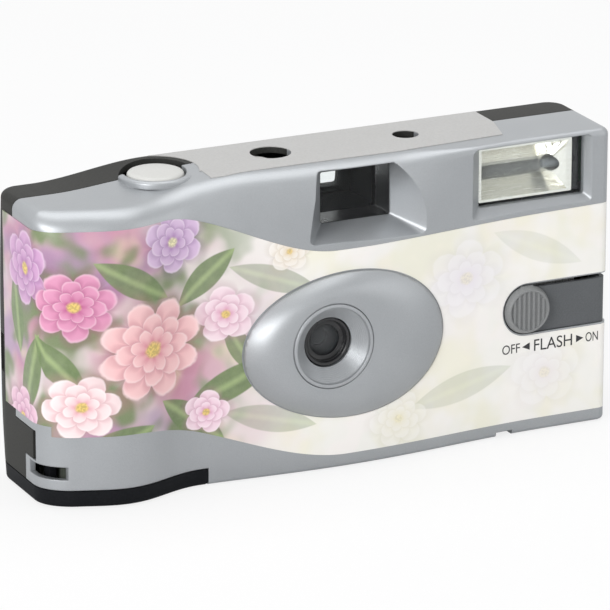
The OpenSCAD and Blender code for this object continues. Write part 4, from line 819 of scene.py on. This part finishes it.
def top_label():
    left, step, right, back = BUTTON_X + 1, -23.2, 41.0, REAR_Y - TOP_R
    outline = [(left, back), (right, back), (right, SEAM_Y - 0.8), (right - 2.3, FACE_Y + 4.95),
            (15.8, FACE_Y + 3.55), (step + 2.5, FACE_Y + 4.15), (step, FACE_Y + 4.75), (step, BUTTON_Y - 4),
            (left, BUTTON_Y - 4)]
    holes = (top_hole(BUTTON_R + BUTTON_GAP + COLLAR_W + 0.9, BUTTON_X, BUTTON_Y), *small_holes())
    label("top_sheet", prism(outline, BROW_Z, FAR, "z"), holes, PLAIN_SHEET, "label_plain", "top_label")


# Lens

def lens_parts():
    centre = (LENS_X, 0, LENS_Z)
    deep = BARREL_FRONT + 0.1
    thread = []
    turns = 9
    for k in range(turns):
        for share, groove in ((0.0, 0.0), (0.55, 0.0), (0.62, 0.07), (0.93, 0.07)):
            t = (k + share)/turns
            thread.append((FUNNEL_R + (THROAT_R + 0.1 - FUNNEL_R)*t + groove,
                    BEZEL_Y + 0.6 + (deep - 0.4 - BEZEL_Y - 0.6)*t))
    rim = [(FUNNEL_R + a, BEZEL_Y + b) for a, b in ((0, 0.25), (0.1, 0.06), (0.25, 0))]
    rim += [(BEZEL_R - a, BEZEL_Y + b) for a, b in ((0.3, 0), (0.1, 0.08), (0, 0.3))]
    ring = lathe("ring", rim + [(BEZEL_R, deep), (THROAT_R, deep), (THROAT_R, deep - 0.4)] + thread[::-1], centre,
            "y", 128)
    place_on("lens_ring", shade(ring, sharp=30), "housing", SILVER, "silver_plastic", "lens_bezel")
    back = FACE_Y + 2.95 - 2.0
    lens_rear = back - 0.05
    pocket = lens_rear - LENS_T - 0.05
    steps = [(BARREL_R - 0.5, BARREL_FRONT), (BARREL_R - 0.62, BARREL_FRONT + 0.12)]
    steps += [(LENS_R + a, pocket - b) for a, b in ((0.52, 1.0), (0.46, 0.9), (0.4, 0.9), (0.3, 0.45), (0.05, 0.45),
            (0, 0.4), (-0.5, 0.4), (-0.5, 0), (0.05, 0))]
    steps += [(LENS_R + 0.05, back), (BARREL_R, back), (BARREL_R, BARREL_FRONT + 0.1),
            (BARREL_R - 0.08, BARREL_FRONT)]
    place_on("lens_tube", shade(lathe("tube", steps, centre, "y", 128), sharp=30), "housing", LENS_BLACK,
            "black_plastic", "lens_barrel")
    front = lens_rear - LENS_T
    bow, rise = 0.54, 1.0
    dome = [(LENS_R*math.sin(a)/math.sin(bow), front + rise*(1 - (math.cos(a) - math.cos(bow))/(1 - math.cos(bow))))
            for a in np.linspace(0, bow, 14)]
    glass = lathe("glass", [(0, lens_rear)] + dome + [(LENS_R, lens_rear)], centre, "y", 96)
    place_on("lens_glass", shade(glass, sharp=40), "housing", GLASS, "clear_plastic", "lens_element")


# Repeats made by geometry nodes

class Growth:
    """A geometry node tree that sets copies of one piece on points."""

    def __init__(self, name, **inputs):
        self.tree = bpy.data.node_groups.new(name, "GeometryNodeTree")
        socket = self.tree.interface.new_socket
        socket("Geometry", in_out="INPUT", socket_type="NodeSocketGeometry")
        self.ids = {key: socket(key, in_out="INPUT", socket_type="NodeSocket" + kind).identifier
                for key, kind in inputs.items()}
        socket("Geometry", in_out="OUTPUT", socket_type="NodeSocketGeometry")
        self.start = self.node("NodeGroupInput")
        self.index = self.node("GeometryNodeInputIndex").outputs[0]

    def given(self, key):
        return self.start.outputs[key]

    def node(self, kind, sockets=None, **settings):
        node = self.tree.nodes.new(kind)
        for key, value in settings.items():
            setattr(node, key, value)
        for key, value in (sockets or {}).items():
            if isinstance(value, bpy.types.NodeSocket):
                self.tree.links.new(value, node.inputs[key])
            else:
                node.inputs[key].default_value = value
        return node

    def sum(self, operation, a, b=0.0):
        return self.node("ShaderNodeMath", {0: a, 1: b}, operation=operation).outputs[0]

    def vector(self, *xyz):
        return self.node("ShaderNodeCombineXYZ", dict(enumerate(xyz))).outputs[0]

    def points(self):
        return self.node("GeometryNodePoints", {"Count": self.given("Count")}).outputs[0]

    def spread(self, piece, points, **how):
        """Set a piece on the points, join it to what comes in, and paint both."""
        info = self.node("GeometryNodeObjectInfo", {0: self.given(piece)})
        put = self.node("GeometryNodeInstanceOnPoints", {"Points": points, "Instance": info.outputs["Geometry"],
                **how})
        real = self.node("GeometryNodeRealizeInstances", {0: put.outputs[0]})
        both = self.node("GeometryNodeJoinGeometry")
        for part in (self.given("Geometry"), real.outputs[0]):
            self.tree.links.new(part, both.inputs[0])
        paint = self.node("GeometryNodeSetMaterial", {"Geometry": both.outputs[0],
                "Material": self.given("Material")})
        self.tree.links.new(paint.outputs[0], self.node("NodeGroupOutput").inputs[0])

    def grow(self, obj, **values):
        """Run the tree on an object and keep the result as a plain mesh."""
        mod = obj.modifiers.new("grow", "NODES")
        mod.node_group = self.tree
        for key, value in values.items():
            mod[self.ids[key]] = value
        settle(obj)


def ridge_growth():
    """Copies of one ridge round the rim of a wheel."""
    g = Growth("wheel_ridges", Ridge="Object", Count="Int", Material="Material")
    angle = g.sum("MULTIPLY", g.sum("DIVIDE", g.index, g.given("Count")), 2*math.pi)
    g.spread("Ridge", g.points(), Rotation=g.vector(0.0, 0.0, angle))
    return g


def rib_growth():
    """Upright ribs across a round knob, each as long as the knob's chord there."""
    g = Growth("knob_ribs", Rib="Object", Count="Int", Pitch="Float", Radius="Float", Material="Material")
    radius = g.given("Radius")
    middle = g.sum("MULTIPLY", g.sum("SUBTRACT", g.given("Count"), 1.0), 0.5)
    x = g.sum("MULTIPLY", g.sum("SUBTRACT", g.index, middle), g.given("Pitch"))
    half = g.sum("SQRT", g.sum("SUBTRACT", g.sum("MULTIPLY", radius, radius), g.sum("MULTIPLY", x, x)))
    places = g.node("GeometryNodeSetPosition", {"Geometry": g.points(), "Position": g.vector(x)}).outputs[0]
    g.spread("Rib", places, Scale=g.vector(1.0, 1.0, half))
    return g


# Moving pieces

def thumb_wheel():
    low, high, r = WHEEL_Z, WHEEL_TOP, WHEEL_R - 0.45
    hub, collar, socket = 4.6, 6.1, WHEEL_Z + 1.9
    disc = lathe("wheel", [(0, high), (r - 3.2, high), (r - 3.0, high - 0.25), (r - 0.9, high - 0.25),
            (r - 0.7, high), (r - 0.25, high), (r, high - 0.25), (r, low + 0.25), (r - 0.25, low), (collar, low),
            (collar, SHELF_Z - 0.65), (hub + 0.15, SHELF_Z - 0.65), (hub + 0.15, socket), (0, socket)], (0, 0, 0),
            "z", 144)
    key = box((-hub - 0.5, -0.6, socket - 1.2), (hub + 0.5, 0.6, socket + 0.01))
    add(disc, key)
    ridge = build("ridge", [(q, 0.5*w*b, h) for q, w in ((r - 0.2, 0.95), (WHEEL_R - 0.1, 0.62), (WHEEL_R, 0.34))
            for b in (-1, 1) for h in (low + 0.2, high - 0.2)], [(0, 1, 5, 4), (4, 5, 9, 8), (2, 6, 7, 3),
            (6, 10, 11, 7), (8, 9, 11, 10), (0, 2, 3, 1), (0, 4, 6, 2), (4, 8, 10, 6), (1, 3, 7, 5), (5, 7, 11, 9)])
    clean(ridge)
    ridge_growth().grow(disc, Ridge=ridge, Count=48, Material=BLACK)
    discard(ridge)
    for v in disc.data.vertices:
        v.co.x += MM*GRIP_X
        v.co.y += MM*CASSETTE_Y
    shade(disc, sharp=30)
    place_on("winding_wheel", disc, "wheel", BLACK, "black_plastic", "thumb_wheel")


def shutter_button():
    flange = WHEEL_TOP + 1.2 + 0.3
    dome = [(r, BODY_H - down) for r, down in ((BUTTON_R, 1.15), (5.42, 0.8), (5.2, 0.56), (4.8, 0.40), (4.2, 0.32),
            (2.8, 0.2), (1.4, 0.125), (0.0, 0.1))]
    rim = [(r, flange + up) for r, up in ((0, 0), (6.25, 0), (6.4, 0.15), (6.4, 0.65), (6.25, 0.8), (BUTTON_R, 0.8))]
    cap = lathe("cap", rim + dome, (BUTTON_X, BUTTON_Y, 0), "z", 128)
    post_x, post_y = GRIP_X + CASSETTE_R + 3.3, CASSETTE_Y + 0.1
    add(cap, rod(0.8, (post_x, post_y, 0), LENS_Z + 22.8, flange + 0.4, "z", 40))
    place_on("button_cap", shade(cap, sharp=30), "button", WHITE, "white_plastic", "shutter_button")


def flash_switch():
    ribs = 7
    back, front = FACE_Y - 0.05, FACE_Y - KNOB_OUT
    rim = KNOB_R - KNOB_TAPER
    dish = rim - 0.42
    pitch = 2*dish/(ribs + 0.4)
    knob = lathe("knob", [(0, back), (KNOB_R - 0.1, back), (KNOB_R, back - 0.1), (KNOB_R - 0.06, back - 0.3),
            (rim + 0.16, front + 0.22), (rim + 0.05, front + 0.07), (rim - 0.1, front), (rim - 0.22, front),
            (rim - 0.34, front + 0.07), (dish, front + 0.28), (dish - 0.25, front + 0.45), (0, front + 0.45)],
            (0, 0, 0), "y", 96)
    w = 0.27*pitch
    rib = build("rib", [(x, y, z) for x, y in ((-w, front + 0.6), (-w, front + 0.26), (-0.5*w, front + 0.1),
            (0.5*w, front + 0.1), (w, front + 0.26), (w, front + 0.6)) for z in (-PER_M, PER_M)],
            [(0, 1, 3, 2), (2, 3, 5, 4), (4, 5, 7, 6), (6, 7, 9, 8), (8, 9, 11, 10), (10, 11, 1, 0),
            (0, 2, 4, 6, 8, 10), (1, 11, 9, 7, 5, 3)])
    clean(rib)
    rib_growth().grow(knob, Rib=rib, Count=ribs, Pitch=MM*pitch, Radius=MM*(dish + 0.05), Material=KNOB_GREY)
    discard(rib)
    for v in knob.data.vertices:
        v.co.x += MM*KNOB_X
        v.co.z += MM*KNOB_Z
    arm = box((KNOB_X - 1.3, back - 0.3, SLOT_Z + 0.15), (KNOB_X + 1.3, FACE_Y + 1.3, SLOT_Z + SLOT_H - 0.25))
    bm = bmesh.new()
    bm.from_mesh(knob.data)
    bm.from_mesh(arm.data)
    bm.to_mesh(knob.data)
    bm.free()
    discard(arm)
    place_on("switch_knob", shade(knob, sharp=30), "switch", KNOB_GREY, "slate_plastic", "flash_switch")


# Flash and switch panel

def switch_panel():
    form = body_form(-PANEL_SINK, OUTER)
    obj = shell(form, INSIDE)
    space = add(panel_notch(-PANEL_GAP, FACE_Y + 5.9), box((KNOB_X, -PAST, PANEL_Z + 0.1),
            (FAR, FACE_Y + 5.9, KNOB_Z)))
    keep_inside(obj, keep_inside(space, box((0, -PAST, 0), (90, 0, SLOT_Z))))
    shade(obj, (form,))
    discard(form)
    place_on("panel_plate", obj, "housing", SLATE, "slate_plastic", "switch_panel")


def finder_shield():
    """Black frame round the front finder lens, which keeps light from the inside of the camera out of the view."""
    frame_y = FINDER_FRONT + 0.02
    shield = prism(rounded(finder_edge(0.5), 0.6), frame_y, frame_y + 6)
    cut(shield, prism(rounded(finder_edge(-0.06), 0.4), frame_y - 1, frame_y + 7))
    place_on("finder_light_shield", shade(shield), "housing", LENS_BLACK, "black_plastic")


def flash_parts():
    front, back = WINDOW_Y + WINDOW_T + 0.1, FACE_Y + 8.15
    tube_y, tube_z, tube_r = back - 3, FLASH_Z + FLASH_H/2, 1.6
    pane = prism(rounded(flash_edge(0), 0.45), WINDOW_Y, WINDOW_Y + WINDOW_T)
    place_on("flash_pane", shade(pane), "housing", WINDOW, "clear_plastic", "flash_window")
    edge_gap = 1.9
    block = prism(rounded(corners(FLASH_X + 0.4, FLASH_Z + 0.4, FLASH_W - 0.4 - edge_gap, FLASH_H - 0.8, 0), 0.4),
            front, back)
    rows = 24
    curve = [(back - 0.5 - (back - 0.5 - front)*t*t, tube_z + t*(FLASH_H/2 - 0.9)) for t in np.linspace(-1, 1, rows)]
    slope, facet = 4.2, 0.4
    outline = [(front - 1, curve[0][1])] + curve + [(front - 1, curve[-1][1])]
    left, right = FLASH_X + 1, FLASH_X + FLASH_W - edge_gap - 0.6
    n = len(outline)

    def drawn_in(y):
        return slope*(y - front)/(back - front)

    points = [(left + 0.4*drawn_in(y), y, z) for y, z in outline]
    points += [(right - drawn_in(y) - facet*(k % 2), y, z)
            for k, (y, z) in enumerate(outline)] + [(right - slope + facet, tube_y, tube_z)]
    faces = [tuple(range(n))]
    for k in range(n):
        after = (k + 1) % n
        faces += [(k, after, n + after), (k, n + after, n + k), (n + after, 2*n, n + k)]
    at = (0, tube_y, tube_z)
    cut(block, clean(build("trough", points, faces)), rod(tube_r + 0.1, at, -20, FAR, "x", 40))
    place_on("flash_trough", shade(block, sharp=30), "housing", MIRROR, "bright_metal", "flash_reflector")
    ends = (FLASH_X - 0.3, FLASH_X + FLASH_W + 0.3)
    profile = [(0, ends[0]), (0.9, ends[0]), (tube_r - 0.2, ends[0] + 0.4), (tube_r, ends[0] + 0.9),
            (tube_r, ends[1] - 0.9), (tube_r - 0.2, ends[1] - 0.4), (0.9, ends[1]), (0, ends[1])]
    inner = [(0, ends[0] + 2.2), (tube_r - 0.55, ends[0] + 2.6), (tube_r - 0.55, ends[1] - 2.6), (0, ends[1] - 2.2)]
    tube = cut(lathe("tube", profile, at, "x", 48), lathe("bore", inner, at, "x", 48))
    place_on("flash_lamp_tube", shade(tube, sharp=40), "housing", TUBE, "tube_glass", "flash_tube")
    tip, root, neck = ends[1] - 7.6, ends[1] - 3.2, tube_r - 0.75
    electrode = lathe("electrode", [(0, tip), (neck - 0.15, tip), (neck, tip + 0.15), (neck, root), (0, root)], at,
            "x", 32)
    place_on("flash_electrode", shade(electrode, sharp=40), "housing", CELL, "spring_steel")
    # Painted shade: a black strip in the gap between the reflector and the window's right edge stands in for the
    # shadow in that gap
    gap_shade_strip = prism(rounded(corners(FLASH_X + FLASH_W - 1.7, FLASH_Z + 0.3, 1.5, FLASH_H - 0.6, 0), 0.3), front + 0.5,
            front + 1.3)
    place_on("flash_liner", shade(gap_shade_strip), "housing", LENS_BLACK, "black_plastic")


def switch_words():
    """Plain words for the two ends of the switch, printed under it."""
    pieces = []

    def word(text, left, right, low, high):
        curve = bpy.data.curves.new("word", "FONT")
        curve.body = text
        obj = bpy.data.objects.new("word", curve)
        bpy.context.scene.collection.objects.link(obj)
        mesh = bpy.data.meshes.new_from_object(obj.evaluated_get(bpy.context.evaluated_depsgraph_get()))
        discard(obj)
        co = np.array([v.co[:] for v in mesh.vertices])
        lo, hi = co.min(0), co.max(0)
        for v in mesh.vertices:
            v.co = (MM*(left + (right - left)*(v.co.x - lo[0])/(hi[0] - lo[0])), 0,
                    MM*(low + (high - low)*(v.co.y - lo[1])/(hi[1] - lo[1])))
        pieces.append(mesh)

    def arrow(tip, tail, low, high):
        mesh = bpy.data.meshes.new("arrow")
        mesh.from_pydata([(MM*tip, 0, MM*(low + high)/2), (MM*tail, 0, MM*low), (MM*tail, 0, MM*high)], [],
                [(0, 1, 2)])
        pieces.append(mesh)

    def span(a, b):
        return WORDS_X + a*WORDS_W, WORDS_X + b*WORDS_W

    low, high = WORDS_Z, WORDS_Z + 1.9
    word("OFF", *span(0.0, 0.186), low, high)
    arrow(*span(0.209, 0.289), low + 0.2, high - 0.2)
    word("FLASH", *span(0.335, 0.730), low - 0.25, high + 0.25)
    arrow(*span(0.848, 0.772), low + 0.2, high - 0.2)
    word("ON", *span(0.871, 1.0), low, high)
    bm = bmesh.new()
    for mesh in pieces:
        bm.from_mesh(mesh)
        bpy.data.meshes.remove(mesh)
    bmesh.ops.triangulate(bm, faces=bm.faces)
    thick = bmesh.ops.extrude_face_region(bm, geom=bm.faces[:])
    proud, sunk = 0.03, 0.02
    raised = {v for v in thick["geom"] if isinstance(v, bmesh.types.BMVert)}
    for v in bm.verts:
        x = PER_M*v.co.x
        bend = max(0.0, x - (HALF_W - CORNER_RIGHT))
        skin = float(front_y(x)) + CORNER_RIGHT - math.sqrt(max(0.0, CORNER_RIGHT**2 - bend**2)) - LABEL_T
        v.co.y = MM*(skin - (proud if v in raised else -sunk))
    bmesh.ops.recalc_face_normals(bm, faces=bm.faces)
    mesh = bpy.data.meshes.new("words")
    bm.to_mesh(mesh)
    bm.free()
    place_on("switch_words", new_object("switch_words", mesh), "housing", INK, "black_plastic")


front_cover()
rear_cover()
film_door()
front_label()
top_label()
lens_parts()
thumb_wheel()
shutter_button()
switch_panel()
flash_switch()
finder_shield()
flash_parts()
switch_words()
discard(OUTSIDE, INSIDE, POD)

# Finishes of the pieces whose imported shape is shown

for material, names in (
        (DEEP_BLACK, "main_frame aperture_plate shutter_blade cassette_spool supply_spool"), (GREY, "kick_lever"),
        (WHITE, "release_lever ratchet_pawl sprocket_wheel counter_dial"),
        (STEEL, "button_spring kick_spring blade_spring battery_plus_contact battery_minus_contact switch_contact"),
        (WINDOW, "finder_front_lens finder_rear_lens"), (BOARD, "circuit_board"), (SLEEVE, "flash_capacitor"),
        (COPPER, "flash_transformer"), (CELL, "battery"), (LAMP, "ready_lamp"), (LACQUER, "film_cassette"),
        (FILM, "film_strip film_roll")):
    for name in names.split():
        piece = frame["nodes"][name]
        for spot in piece.material_slots:
            spot.material = material

# Camera at the photograph's angle

TURN, TILT, AWAY = math.radians(-25.37), math.radians(18.5), 1.00537
SENSOR, FOCAL_PX, PHOTO_PX = 36.0, 5200.0, 610.0
TARGET = Vector((-0.00023, 0.00195, 0.02875))
back = Vector((math.sin(TURN)*math.cos(TILT), -math.cos(TURN)*math.cos(TILT), math.sin(TILT)))
camera_data = bpy.data.cameras.new("camera")
camera_data.sensor_width = SENSOR
camera_data.lens = SENSOR*FOCAL_PX/PHOTO_PX
camera_data.clip_start = 0.01
camera = new_object("camera", camera_data)
camera.location = TARGET + back*AWAY
camera.rotation_euler = back.to_track_quat("Z", "Y").to_euler()
bpy.context.scene.camera = camera

# Studio: white surroundings, a pale floor and soft lamps

sky = Paint("studio", "worlds")
seen = sky.node("LightPath", out="Is Camera Ray")
for kind in ("Is Glossy Ray", "Is Transmission Ray"):
    seen = seen.most(sky.node("LightPath", out=kind))
soft = sky.node("Background", {"Color": (0.97, 0.985, 1.0), "Strength": 0.42})
white = sky.node("Background", {"Color": (1.0, 1.0, 1.0), "Strength": 1.0})
bpy.context.scene.world = sky.finish(sky.node("MixShader", {0: seen, 1: soft, 2: white}), "OutputWorld")

FLOOR_HALF, FLOOR_DROP = 3000, 0.0002
p = Paint("studio_floor")
rays = p.node("LightPath", out="Is Camera Ray")
paper = p.noise(0.02, 2.0)
matt = p.surface(p.mix(paper, (0.86, 0.86, 0.86), (0.9, 0.9, 0.9)), 0.9)
glow = p.node("Emission", {"Color": (1.0, 1.0, 1.0), "Strength": 1.0})
floor_paint = p.finish(p.node("MixShader", {0: rays*0.8, 1: matt, 2: glow}))
floor = build("studio_floor", [(a*FLOOR_HALF, b*FLOOR_HALF, 0) for a, b in ((-1, -1), (1, -1), (1, 1), (-1, 1))],
        [(0, 1, 2, 3)])
floor.data.materials.append(floor_paint)
floor.location.z = -FLOOR_DROP

AIM = Vector((0.0, 0.0, 0.03))
for name, place, size, power in (
        ("key_lamp", (-0.80, -0.55, 0.4), (0.5, 0.5), 6.6), ("fill_lamp", (0.75, -0.6, 0.3), (0.5, 0.6), 1.0),
        ("top_lamp", (0.05, 0.15, 0.9), (0.9, 0.6), 4.2)):
    light = bpy.data.lights.new(name, "AREA")
    light.shape = "RECTANGLE"
    light.size, light.size_y = size
    light.energy = power
    lamp = new_object(name, light)
    lamp.location = place
    lamp.rotation_euler = (lamp.location - AIM).to_track_quat("Z", "Y").to_euler()

bpy.context.scene.view_settings.view_transform = "Standard"
